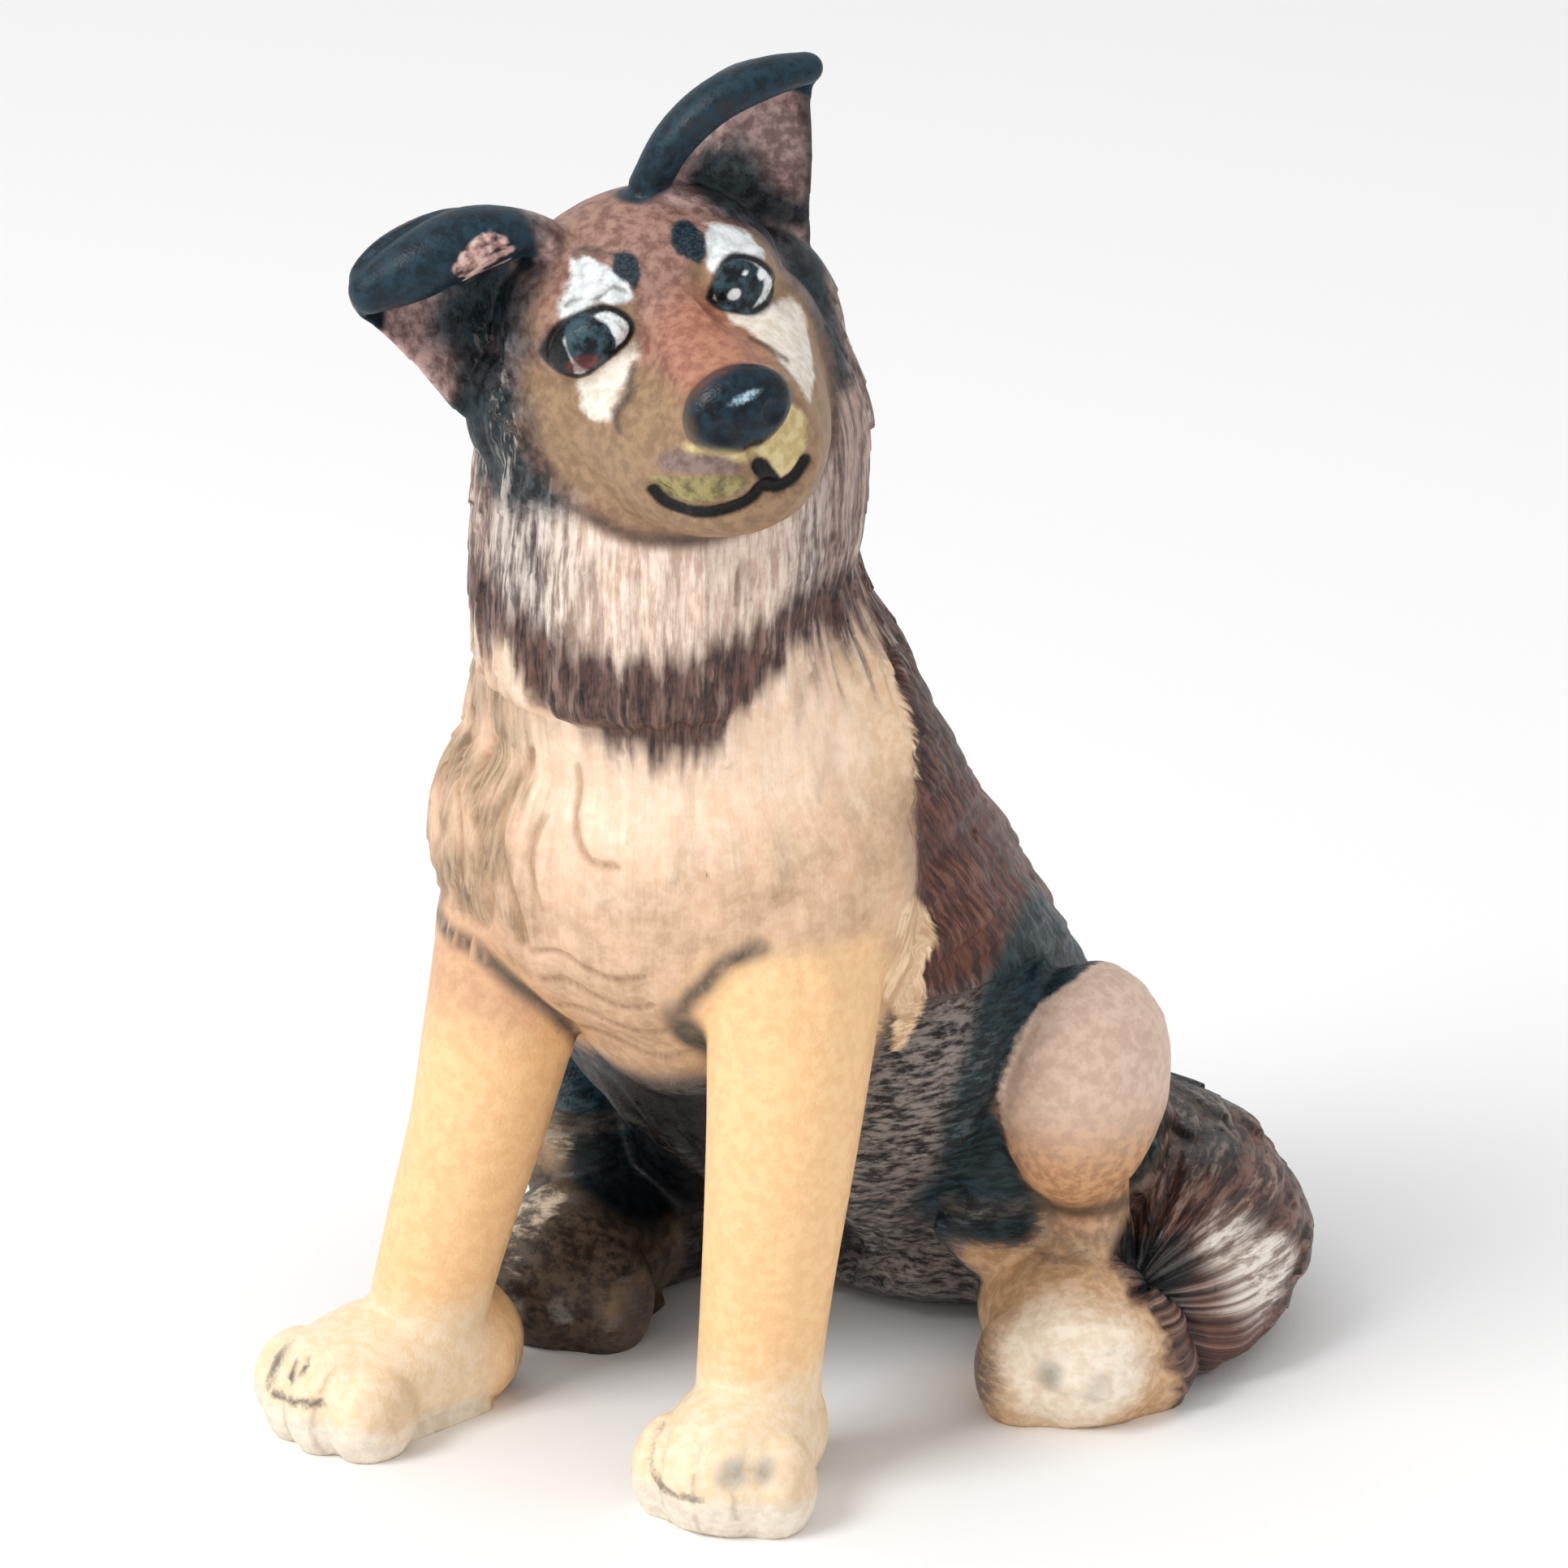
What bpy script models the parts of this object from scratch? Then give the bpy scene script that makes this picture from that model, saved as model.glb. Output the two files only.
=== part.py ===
"""Seated shepherd dog figurine, carved from one piece of wood and painted.

The dog sits on the ground plane Z = 0 and faces -Y, with its left side towards +X. Its head is turned
and tilted to its left. Its pose, proportions and carving are shares of its height: a length written as
a plain number is in parts, some 240 of which make that height, and the last step brings it to size.
"""

import math

import bmesh
import bpy
import numpy as np
from mathutils import Matrix, Vector

HEIGHT = 0.240  # ground to the tip of the raised ear, metres
TRIANGLES = 9700  # faces of the solid before its underside is cut flat
FACE_DETAIL = 10  # how much the face is spared when the faces are brought down to that number
SKIN = 0.9  # grid that the forms are fused on

HEAD_AT = (3.0, 19.0, 197.5)
HEAD_TURN = math.radians(50)  # to the dog's left
HEAD_TILT = math.radians(18)  # left ear up
HEAD_LIFT = math.radians(3)  # nose up
FORE_SPLAY = (6, 20)  # how far the left and the right fore paw turn out, degrees
HIND_SPLAY = (45, 2)  # the same for the hind paws
HIND_FEET = ((48.5, 77), (-35, 63))  # ankles of the left and the right hind paw
KNEES = (53.5, -50)  # how far the left and the right knee stand out from the middle
SHINS = (6.6, 10)  # half-width of the left and the right shin
TAIL = (  # x, y, z, half-height and half-width from the rump to the tip
    (4, 126, 22, 14, 14),
    (28, 133, 17.5, 15, 15),
    (52, 122, 16, 16, 16.5),
    (64, 103, 15.5, 15.5, 16),
    (68, 89, 12, 11, 11),
)
EYES = ((12.8, 3.6), (-13.8, 2.8))  # (x, z) of the left and the right eye in the head's frame
RUFF_FUR = (6.5, 24, 2.0)  # width, length and height of the locks of fur
CHEST_FUR = (8, 30, 1.0)
BACK_FUR = (9, 25, 2.6)
TAIL_FUR = (7, 24, 2.4)
MOUTH_CUT = (3.6, 1.7)  # width and depth of the lines cut into the face
LIP_CUT = (2.6, 1.0)
LID_CUT = (3.0, 0.9)
NOSTRIL_CUT = (4.4, 1.2)
MOUTH = (  # (x, z) in the head's frame, from corner to corner
    (-14.5, -18.5), (-13.4, -21), (-10.5, -22.8), (-6, -23.4), (-2.5, -23), (0, -21.8),
    (2.5, -23), (6, -23.4), (10.5, -22.8), (13.4, -21), (14.5, -18.5),
)


def clear_scene():
    for obj in list(bpy.data.objects):
        bpy.data.objects.remove(obj)


def through(rows, steps):
    """Points on a smooth curve through rows of numbers, with so many steps between two rows."""
    rows = np.array(rows, float)
    ends = np.vstack([2 * rows[0] - rows[1], rows, 2 * rows[-1] - rows[-2]])
    t = np.linspace(0, 1, steps, endpoint=False)[:, None]
    spans = [
        b + 0.5 * t * (c - a + t * (2 * a - 5 * b + 4 * c - d + t * (3 * (b - c) + d - a)))
        for a, b, c, d in zip(ends, ends[1:], ends[2:], ends[3:])
    ]
    return np.vstack([*spans, rows[-1:]])


def unit(vectors):
    return vectors / np.linalg.norm(vectors, axis=-1, keepdims=True)


def mesh_object(name, points, faces):
    mesh = bpy.data.meshes.new(name)
    mesh.from_pydata([tuple(p) for p in points], [], faces)
    obj = bpy.data.objects.new(name, mesh)
    bpy.context.scene.collection.objects.link(obj)
    return obj


def limb(name, stations, across=(1, 0, 0), sides=32, steps=6, roundness=0.9, fullness=1.0):
    """A round-ended form through stations of (x, y, z, half-width along across, half-depth).

    A fullness above 1 squares the sections up.
    """
    rows = through(stations, steps)
    centres, wide, deep = rows[:, :3], rows[:, 3:4], rows[:, 4:5]
    along = unit(np.gradient(centres, axis=0))
    side = unit(np.array(across, float) - (along @ np.array(across, float))[:, None] * along)
    depth = np.cross(along, side)
    turn = np.linspace(0, 2 * math.pi, sides, endpoint=False)[:, None]
    over = np.sign(np.cos(turn)) * np.abs(np.cos(turn)) ** (1 / fullness)
    up = np.sign(np.sin(turn)) * np.abs(np.sin(turn)) ** (1 / fullness)

    def ring(index, share, offset):
        flat = over * side[index] * wide[index] + up * depth[index] * deep[index]
        return centres[index] + along[index] * offset + share * flat

    def cap(index, sign):
        reach = sign * roundness * float(min(wide[index, 0], deep[index, 0]))
        return [ring(index, math.sin(a), reach * math.cos(a)) for a in np.linspace(0.43, 0.05, 4) * math.pi]

    rings = [*cap(0, -1)[::-1], *(ring(i, 1.0, 0.0) for i in range(len(rows))), *cap(-1, 1)]
    faces = [
        (r * sides + k, r * sides + (k + 1) % sides, (r + 1) * sides + (k + 1) % sides, (r + 1) * sides + k)
        for r in range(len(rings) - 1)
        for k in range(sides)
    ]
    last = (len(rings) - 1) * sides
    faces += [tuple(range(sides))[::-1], tuple(range(last, last + sides))]
    return mesh_object(name, np.vstack(rings), faces)


def mass(name, centre, radii, turn=(0, 0, 0)):
    """An egg-shaped mass: an ellipsoid of these three radii, turned by degrees about X, Y and Z."""
    bm = bmesh.new()
    bmesh.ops.create_uvsphere(bm, u_segments=32, v_segments=20, radius=1)
    spin = (
        Matrix.Rotation(math.radians(turn[2]), 4, "Z")
        @ Matrix.Rotation(math.radians(turn[1]), 4, "Y")
        @ Matrix.Rotation(math.radians(turn[0]), 4, "X")
    )
    bm.transform(Matrix.Translation(centre) @ spin @ Matrix.Diagonal((*radii, 1)))
    mesh = bpy.data.meshes.new(name)
    bm.to_mesh(mesh)
    bm.free()
    obj = bpy.data.objects.new(name, mesh)
    bpy.context.scene.collection.objects.link(obj)
    return obj


def head_frame():
    """Carries the head's own frame, with its nose towards -Y, to its place on the neck."""
    return (
        Matrix.Translation(HEAD_AT)
        @ Matrix.Rotation(HEAD_TURN, 4, "Z")
        @ Matrix.Rotation(-HEAD_TILT, 4, "Y")
        @ Matrix.Rotation(-HEAD_LIFT, 4, "X")
    )


def in_head(obj):
    obj.data.transform(head_frame())
    return obj


def settle(obj):
    """Replaces an object's mesh by what its modifiers make of it."""
    graph = bpy.context.evaluated_depsgraph_get()
    made = bpy.data.meshes.new_from_object(obj.evaluated_get(graph))
    obj.modifiers.clear()
    obj.data = made
    return obj


def fuse(name, pieces, rounds, grid=SKIN):
    """One skin over pieces that overlap, with its joins softened by rounds of smoothing."""
    bm = bmesh.new()
    for piece in pieces:
        bm.from_mesh(piece.data)
        bpy.data.objects.remove(piece)
    mesh = bpy.data.meshes.new(name)
    bm.to_mesh(mesh)
    bm.free()
    obj = bpy.data.objects.new(name, mesh)
    bpy.context.scene.collection.objects.link(obj)
    skin = obj.modifiers.new("skin", "REMESH")
    skin.mode = "VOXEL"
    skin.voxel_size = grid
    soften = obj.modifiers.new("soften", "SMOOTH")
    soften.factor = 0.5
    soften.iterations = rounds
    return settle(obj)


def torso():
    """Neck to rump along a leaning back, with the chest and the brisket between the fore legs."""
    return [
        limb("spine", [
            (0, 29, 170, 29, 28),
            (0, 31, 146, 31, 29),
            (0, 38, 123, 40, 33),
            (0, 49, 98, 44, 36),
            (2, 63, 76, 45, 38),
            (5, 80, 56, 44, 36),
            (7, 94, 36, 43, 29),
        ]),
        mass("chest", (0, 31, 102), (44, 30, 34)),
        limb("brisket", [(0, 25, 86, 22, 15), (0, 33, 72, 18, 14), (0, 52, 62, 20, 14)]),
        mass("rump", (7, 104, 24), (44, 33, 27)),
    ]


def paw(ankle, turn, length, half_width, height, heel=5):
    """A paw that runs forward from the ankle, with four toes side by side at its end."""
    forward = Matrix.Translation(ankle) @ Matrix.Rotation(math.radians(turn), 4, "Z")
    rise = height / 2
    pieces = [
        limb("instep", [
            (0, heel, rise * 0.9, half_width * 0.84, rise * 1.1),
            (0, -length * 0.3, rise * 0.88, half_width * 0.95, rise * 1.1),
            (0, -length * 0.66, rise * 0.76, half_width * 0.93, rise * 1.0),
        ]),
        limb("sole", [
            (0, heel - 2, 0, half_width * 0.74, rise * 0.4),
            (0, -length * 0.7, 0, half_width * 0.9, rise * 0.4),
        ]),
    ]
    for place in (-1.5, -0.5, 0.5, 1.5):
        reach = length * (1.0 - 0.055 * place**2)
        toe = mass(
            "toe",
            (place * half_width * 0.51, -reach + half_width * 0.55, rise * 0.62),
            (half_width * 0.34, half_width * 0.6, rise * 0.84),
        )
        pieces.append(toe)
    for piece in pieces:
        piece.data.transform(forward)
    return pieces


def fore_legs():
    left = limb("left_fore_leg", [
        (24, 28, 98, 15, 17),
        (27, 24, 84, 14, 16),
        (28.7, 19, 68, 13, 13.5),
        (28.7, 16, 52, 11.8, 12.4),
        (28, 14, 36, 10.8, 11.4),
        (27, 13, 20, 10.2, 11),
        (26.6, 13, 8, 10.6, 12),
    ])
    right = limb("right_fore_leg", [
        (-23, 28, 98, 15, 17),
        (-25, 24, 84, 14, 16),
        (-27, 19, 68, 12.6, 13.5),
        (-29.5, 16, 52, 11.4, 12),
        (-33, 13, 36, 10.6, 11),
        (-36.5, 11, 20, 10, 10.8),
        (-38.5, 10, 8, 10.6, 11.6),
    ])
    return [
        left,
        *paw((27.2, 12, 0), FORE_SPLAY[0], length=23, half_width=13, height=22, heel=3),
        right,
        *paw((-38, 11, 0), -FORE_SPLAY[1], length=30, half_width=13.8, height=21, heel=8),
    ]


def haunch(side, foot, knee_x, shin):
    """Folded thigh and knee over the foot; shin is the half-width below the knee."""
    x, y = foot
    return [
        mass("thigh", (6 + side * 33, 89, 36), (16, 26, 26), (-20, 0, side * -12)),
        mass("knee", (knee_x, 76, 55), (13, 16.5, 21), (-8, 0, side * -10)),
        limb("shin", [
            (knee_x - side, 77, 46, shin + 2, 10),
            ((knee_x + x) / 2 + side * 1.5, y + 3, 31, shin, 8),
            (x + side * 3, y + 1, 16, 9, 9),
        ]),
        limb("heel", [(6 + side * 30, 92, 10, 10, 12), (x, y + 2, 11, 12, 11)], across=(0, 0, 1)),
    ]


def tail():
    """Bushy tail that lies on the ground and curls round the left haunch."""
    return limb("tail", TAIL, across=(0, 0, 1))


def neck_ruff():
    """Collar of long fur round the neck, which overhangs the chest."""
    return [
        limb("ruff", [
            (3, 30, 193, 25, 25),
            (2.5, 29, 180, 30.5, 29),
            (1.5, 28, 167, 31.5, 30),
            (0, 27, 151, 30, 30),
            (0, 27, 137, 28.5, 30),
        ], roundness=0.3),
    ]


def face():
    """Skull, deep blunt muzzle, cheeks and jaw, in the head's own frame."""
    pieces = [
        mass("skull", (0, 4, -0.5), (24, 20, 19)),
        mass("forehead", (0, -5, 2), (21.5, 12, 13)),
        limb("muzzle", [
            (0, -1, -12, 22, 20.5),
            (0, -10, -14.6, 21.4, 18.4),
            (0, -18, -16.4, 19.4, 16.4),
            (0, -26, -17, 16.5, 14.8),
            (0, -31, -17, 13.5, 13.5),
        ], roundness=0.55, fullness=1.12),
        limb("bridge", [(0, -12, 2, 5.5, 6), (0, -24, -3.5, 7.5, 6), (0, -33, -7, 7.5, 5)]),
        mass("nose", (0, -37.6, -8.2), (9, 5, 6.8)),
    ]
    for side, (eye_x, eye_z) in zip((1, -1), EYES):
        pieces.append(mass("eyeball", (eye_x, -13.4, eye_z), (7, 3.8, 5.2), (0, side * 16, side * 20)))
        pieces.append(mass("cheek", (side * 11.5, -3, -10.5), (14, 13, 14.5)))
        pieces.append(mass("side_fur", (side * 22, 7, -12), (9.5, 9, 14), (0, side * 8, 0)))
    return [in_head(piece) for piece in pieces]


def shell(name, inner_edge, outer_edge, rim, back, scoop, sides=28, steps=5):
    """A cupped ear between two edges of (x, y, z): its front is scooped out and its back is round."""
    inner, outer = through(inner_edge, steps), through(outer_edge, steps)
    turn = np.linspace(0, 2 * math.pi, sides, endpoint=False)
    points = []
    for a, b in zip(inner, outer):
        half = (a - b) / 2
        share = min(1.0, float(np.linalg.norm(half)) / 9)
        for angle in turn:
            x, s = math.cos(angle), math.sin(angle)
            if s > 0:
                y = max(2.2, back * share) * s
            else:
                y = max(2.0, rim * share) * s + scoop * share**1.6 * s * s
            points.append((a + b) / 2 + half * x + np.array((0, y, 0)))
    faces = []
    for r in range(len(inner) - 1):
        for k in range(sides):
            p, q = r * sides + k, r * sides + (k + 1) % sides
            faces.append((p, q, q + sides, p + sides))
    faces.append(tuple(range(sides))[::-1])
    last = (len(inner) - 1) * sides
    faces.append(tuple(range(last, last + sides)))
    return mesh_object(name, points, faces)


def ears():
    """The left ear stands up; the right one bends outwards and its top edge is folded forward."""
    pieces = [
        shell(
            "left_ear",
            [(3, 7, 11), (7, 6, 18), (10.5, 4, 23.6), (17, 3, 28.6), (27, 2, 31), (37, 1, 29), (40.3, 1, 27)],
            [(21, 9, -9), (30, 8, -4), (32, 6, 3), (34, 4.5, 9), (35.6, 3.5, 15), (37.4, 2, 22), (39.4, 1, 24)],
            rim=5, back=6, scoop=8,
        ),
        limb("left_fold", [
            (7, 2, 18, 3.2, 3.6),
            (13, 0, 24, 3.4, 4.6),
            (21, -1, 27.6, 3.5, 4.8),
            (30, -1, 28, 3.3, 4.4),
            (37.5, 0, 26.5, 2.6, 3.2),
        ], across=(0, 0, 1)),
        shell(
            "right_ear",
            [(-6, 7, 6), (-11, 6, 14), (-16.5, 5, 22.5), (-24, 4, 27), (-34, 3, 27.5), (-42, 2, 24.7), (-44.3, 1, 20)],
            [(-18, 9, -15), (-26, 8, -12), (-32, 7, -7), (-35, 5, -1), (-37.8, 4, 6), (-41.3, 2, 13), (-43.8, 1, 17)],
            rim=5, back=6, scoop=8,
        ),
        limb("right_fold", [
            (-8, 1, 14, 2.6, 3.6),
            (-15, 0.5, 19.6, 3.8, 5.5),
            (-24, -1, 22.4, 5.4, 6.4),
            (-34, -1.5, 21.8, 5.2, 5.6),
            (-41.3, 0, 20.6, 3.6, 3.8),
        ], across=(0, 0, 1)),
    ]
    return [in_head(piece) for piece in pieces]


def chance(*keys):
    """A repeatable number from 0 to 1 for each set of whole-number keys."""
    mixed = sum(key * step for key, step in zip(keys, (12.9898, 78.233, 37.719)))
    return np.modf(np.abs(np.sin(mixed) * 43758.5453))[0]


def locks(across, along, width, length, seed):
    """Height, 0 to 1, of overlapping locks of fur, each of which ends in a raised point."""
    column, height = np.floor(across / width), np.zeros(len(across))
    for shift in (-1, 0, 1):
        lane = column + shift
        sway = width * (chance(lane, 0, seed) - 0.5) * 0.7
        slide = length * chance(lane, 1, seed)
        row = np.floor((along - slide) / length)
        for step in (-1, 0):
            place = row + step
            jitter = chance(lane, place, seed + 2) - 0.5
            a = (across - (lane + 0.5) * width - sway - jitter * width * 0.4) / width
            b = (along - slide) / length - place + 0.3 * jitter
            b = np.clip(b / 1.45, 0, 1)
            half = 0.72 * np.sqrt(np.clip(1 - b**2.4, 0, 1)) + 1e-6
            ridge = np.clip(1 - (a / half) ** 2, 0, 1) ** 0.7
            height = np.maximum(height, ridge * (0.3 + 0.7 * b) * (b < 1))
    return height


def raised(across, along, fur, seed):
    """How far the skin moves out to raise fur of this width, length and height."""
    width, length, height = fur
    return height * (locks(across, along, width, length, seed) - 0.3)


def ramp(values, low, high):
    """0 below low, 1 above high, smooth between them; low may be the larger."""
    t = np.clip((values - low) / (high - low), 0, 1)
    return t * t * (3 - 2 * t)


def nearest(points, line):
    """Distance of each point from a line of points, and how far along the line its nearest place is."""
    run = np.concatenate([[0], np.cumsum(np.linalg.norm(np.diff(line, axis=0), axis=1))])
    best, place = np.full(len(points), 1e9), np.zeros(len(points))
    for a, b, start, end in zip(line, line[1:], run, run[1:]):
        t = np.clip((points - a) @ (b - a) / (end - start) ** 2, 0, 1)
        gap = np.linalg.norm(points - a - t[:, None] * (b - a), axis=1)
        place = np.where(gap < best, start + t * (end - start), place)
        best = np.minimum(gap, best)
    return best, place


def groove(gap, width, depth):
    """How far a rounded groove cuts in at these distances from its middle line."""
    return depth * np.clip(1 - (gap / (width / 2)) ** 2, 0, 1)


def carve(obj):
    """Cuts the face's lines and raises locks of fur; face, legs and paws stay smooth."""
    mesh = obj.data
    p = np.empty(len(mesh.vertices) * 3)
    mesh.vertices.foreach_get("co", p)
    n = np.empty_like(p)
    mesh.vertices.foreach_get("normal", n)
    p, n = p.reshape(-1, 3), n.reshape(-1, 3)
    x, y, z = p.T
    head = (np.linalg.inv(np.array(head_frame())) @ np.vstack([p.T, np.ones(len(p))]))[:3].T

    front = ramp(head[:, 1], -12, -18) * ramp(z, 150, 156)
    flat = head[:, [0, 2]]
    cut = groove(nearest(flat, through(MOUTH, 4))[0], *MOUTH_CUT)
    cut = np.maximum(cut, groove(nearest(flat, np.array([(0, -14), (0, -21.8)], float))[0], *LIP_CUT))
    for side, (eye_x, eye_z) in zip((1, -1), EYES):
        around = np.hypot((head[:, 0] - eye_x) / 7.2, (head[:, 2] - eye_z) / 5.4)
        cut = np.maximum(cut, groove(np.abs(around - 1) * 6.3, *LID_CUT))
        nostril = np.linalg.norm(head - (side * 4.2, -41.5, -9.6), axis=1)
        cut = np.maximum(cut, groove(nostril, *NOSTRIL_CUT))
    lift = -cut * front

    in_face = np.hypot(head[:, 0] / 24, (head[:, 2] + 8) / 25) + np.clip(head[:, 1] + 2, 0, None) / 12
    off_face = ramp(in_face, 1.0, 1.2) * ramp(z, 204, 186) * ramp(head[:, 1], -12, -6)
    off_face = np.maximum(off_face, ramp(z, 166, 160))
    ruff = ramp(z, 129, 137) * off_face
    round_neck, down = np.arctan2(x, 28 - y) * 33, 210 - z
    lift += ruff * raised(round_neck, down, RUFF_FUR, 1)

    tail_gap, tail_run = nearest(p, through(TAIL, 6)[:, :3])
    on_tail = ramp(tail_gap, 22, 18.5) * ramp(tail_run, 12, 26)
    tail_turn = np.arctan2(z - 16, np.hypot(x - 20, y - 90) - 42)
    lift += on_tail * raised(tail_turn * 16, tail_run, TAIL_FUR, 7)

    bare = np.zeros(len(p))
    for knee_x, foot in zip(KNEES, HIND_FEET):
        bare = np.maximum(bare, ramp(np.linalg.norm((p - (*foot, 8)) / (24, 26, 26), axis=1), 1.15, 0.95))
        knee = np.linalg.norm((p - (knee_x, 74, 50)) / (18, 20, 27), axis=1)
        bare = np.maximum(bare, ramp(knee, 1.15, 0.9) * 0.8)
    body = ramp(z, 134, 129) * ramp(z, 3, 9) * (1 - bare) * (1 - on_tail)
    behind = ramp(y, 30, 44)
    down_back = y * 0.6 + (130 - z) * 0.8
    round_back = np.arctan2(x - 4, z - 20 + 0.6 * (y - 50)) * 46
    lift += body * behind * raised(round_back, down_back, BACK_FUR, 5)
    chest = body * (1 - behind) * ramp(z, 86, 104)
    lift += chest * raised(round_neck, down, CHEST_FUR, 9)
    p += n * lift[:, None]
    mesh.vertices.foreach_set("co", p.ravel())
    mesh.update()
    group = obj.vertex_groups.new(name="thin")
    spared = front * (ramp(cut, 0, 0.1) + 1) / 2
    for level in np.arange(1, 11) / 10:
        group.add(np.flatnonzero(np.ceil(10 - 9 * spared) == round(level * 10)).tolist(), level, "REPLACE")
    return obj


def finish(obj):
    """Thins out the faces, cuts the underside flat on the ground, centres the solid and sizes it."""
    thin = obj.modifiers.new("thin", "DECIMATE")
    thin.ratio = TRIANGLES / len(obj.data.polygons) / 2
    thin.vertex_group = "thin"
    thin.vertex_group_factor = FACE_DETAIL
    settle(obj).vertex_groups.clear()
    bm = bmesh.new()
    bm.from_mesh(obj.data)
    parts = [*bm.verts, *bm.edges, *bm.faces]
    bmesh.ops.bisect_plane(bm, geom=parts, dist=0.2, plane_co=(0, 0, 0), plane_no=(0, 0, -1), clear_outer=True)
    bmesh.ops.holes_fill(bm, edges=[edge for edge in bm.edges if edge.is_boundary], sides=0)
    bmesh.ops.triangulate(bm, faces=bm.faces)
    for vert in bm.verts:
        if vert.co.z < 0.2:
            vert.co.z = 0
    bm.to_mesh(obj.data)
    bm.free()
    corners = [Vector(corner) for corner in obj.bound_box]
    middle = (corners[0] + corners[6]) / 2
    size = Matrix.Scale(HEIGHT / corners[6].z, 4)
    obj.data.transform(size @ Matrix.Translation((-middle.x, -middle.y, 0)))
    obj.data.shade_smooth()
    return obj


def paint():
    material = bpy.data.materials.new("painted_wood")
    material.use_nodes = True
    shader = material.node_tree.nodes["Principled BSDF"]
    shader.inputs["Base Color"].default_value = (0.62, 0.40, 0.22, 1)
    shader.inputs["Roughness"].default_value = 0.45
    return material


def build():
    clear_scene()
    trunk = [*torso(), tail()]
    for values in zip((1, -1), HIND_FEET, KNEES, SHINS):
        trunk += haunch(*values)
    hind_paws = [
        piece
        for side, foot, splay in zip((1, -1), HIND_FEET, HIND_SPLAY)
        for piece in paw((*foot, 0), side * splay, length=26, half_width=15.2, height=25)
    ]
    body = fuse("body", trunk, rounds=10)
    dog = fuse("dog", [body, *fore_legs(), *hind_paws, *neck_ruff(), *face(), *ears()], rounds=2)
    dog = finish(carve(dog))
    dog.data.materials.append(paint())
    return dog


build()
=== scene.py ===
"""A seated shepherd dog figurine, carved from one piece of wood and painted by hand.

The dog is one skin of soft forms, with locks of fur raised on it. A plain number is in parts, some 240
of which make the figurine's height, and the finished skin is set into the box of the CAD solid.
The dog faces -Y and its left side is towards +X.
"""

import functools
import math

import bmesh
import bpy
import numpy as np
from mathutils import Matrix, Vector, noise

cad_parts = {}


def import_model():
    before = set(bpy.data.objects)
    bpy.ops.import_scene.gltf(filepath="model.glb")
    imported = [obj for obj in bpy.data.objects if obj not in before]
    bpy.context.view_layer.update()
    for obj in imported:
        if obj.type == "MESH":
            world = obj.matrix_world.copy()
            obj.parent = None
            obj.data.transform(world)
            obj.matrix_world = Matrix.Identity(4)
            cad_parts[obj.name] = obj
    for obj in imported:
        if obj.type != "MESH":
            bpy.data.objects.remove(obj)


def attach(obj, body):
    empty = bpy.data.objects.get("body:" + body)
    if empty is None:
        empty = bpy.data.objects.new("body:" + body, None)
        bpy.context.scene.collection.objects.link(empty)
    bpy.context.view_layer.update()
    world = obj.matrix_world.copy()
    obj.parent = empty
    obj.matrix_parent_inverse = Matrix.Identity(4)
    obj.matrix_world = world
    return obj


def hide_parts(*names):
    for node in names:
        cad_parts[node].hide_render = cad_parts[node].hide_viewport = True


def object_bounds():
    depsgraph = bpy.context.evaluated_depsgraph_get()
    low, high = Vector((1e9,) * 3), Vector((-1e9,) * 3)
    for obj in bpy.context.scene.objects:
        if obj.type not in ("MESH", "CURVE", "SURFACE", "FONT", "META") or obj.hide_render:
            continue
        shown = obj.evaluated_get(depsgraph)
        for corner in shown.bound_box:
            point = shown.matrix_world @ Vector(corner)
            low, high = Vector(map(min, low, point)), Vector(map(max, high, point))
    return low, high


TRIANGLES = 190000  # of the visible skin
FACE_DETAIL = 2.0  # how much the face is spared when the faces are brought down to that number
SKIN = 0.62  # grid that the forms are fused on

HEAD_AT = (3.0, 19.0, 197.5)
HEAD_TURN = 50  # degrees, to the dog's left
HEAD_TILT = 18  # left ear up
HEAD_LIFT = 3  # nose up
HIND_FEET = ((48.5, 77), (-35, 63))  # ankles of the left and the right hind paw
KNEES = (53.5, -50)  # how far the left and the right knee stand out from the middle
SHINS = (6.6, 10)  # half-width of the left and the right shin
TAIL = (  # x, y, z, half-height and half-width from the rump to the tip
    (4, 126, 22, 14, 14),
    (28, 133, 17.5, 15, 15),
    (52, 122, 16, 16, 16.5),
    (64, 103, 15.5, 15.5, 16),
    (68, 89, 12, 11, 11),
)
EYES = ((12.8, 3.6), (-13.8, 2.8))  # (x, z) of the left and the right eye in the head's frame
RUFF_FUR = (6.5, 24, 2.0, 1)  # width, length and height of the locks of fur, and their seed
CHEST_FUR = (8, 30, 1.0, 9)
BACK_FUR = (9, 25, 2.6, 5)
TAIL_FUR = (7, 24, 2.4, 7)
RUFF_STRANDS = (3.1, 9, 0.8, 21)  # the same for the finer strands on them
CHEST_STRANDS = (4.2, 12, 0.35, 29)
BACK_STRANDS = (3.4, 11, 0.8, 25)
TAIL_STRANDS = (2.8, 12, 0.7, 27)
MOUTH_CUT = (3.6, 1.7)  # width and depth of the lines cut into the face
LIP_CUT = (2.6, 1.0)
LID_CUT = (3.0, 0.9)
NOSTRIL_CUT = (4.4, 1.2)
WAVE_CUT = (2, 0.45)  # the same for the waves on the chest
LIP_LINE = ((0, -14), (0, -21.8))
MOUTH = (  # (x, z) in the head's frame, from corner to corner
    (-14.5, -18.5), (-13.4, -21), (-10.5, -22.8), (-6, -23.4), (-2.5, -23), (0, -21.8),
    (2.5, -23), (5.5, -22.8), (8.2, -21.2),
)
NECK_Y = 28  # the fur of the neck and the chest is laid out round an upright axis here
NECK_RADIUS = 33
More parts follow.
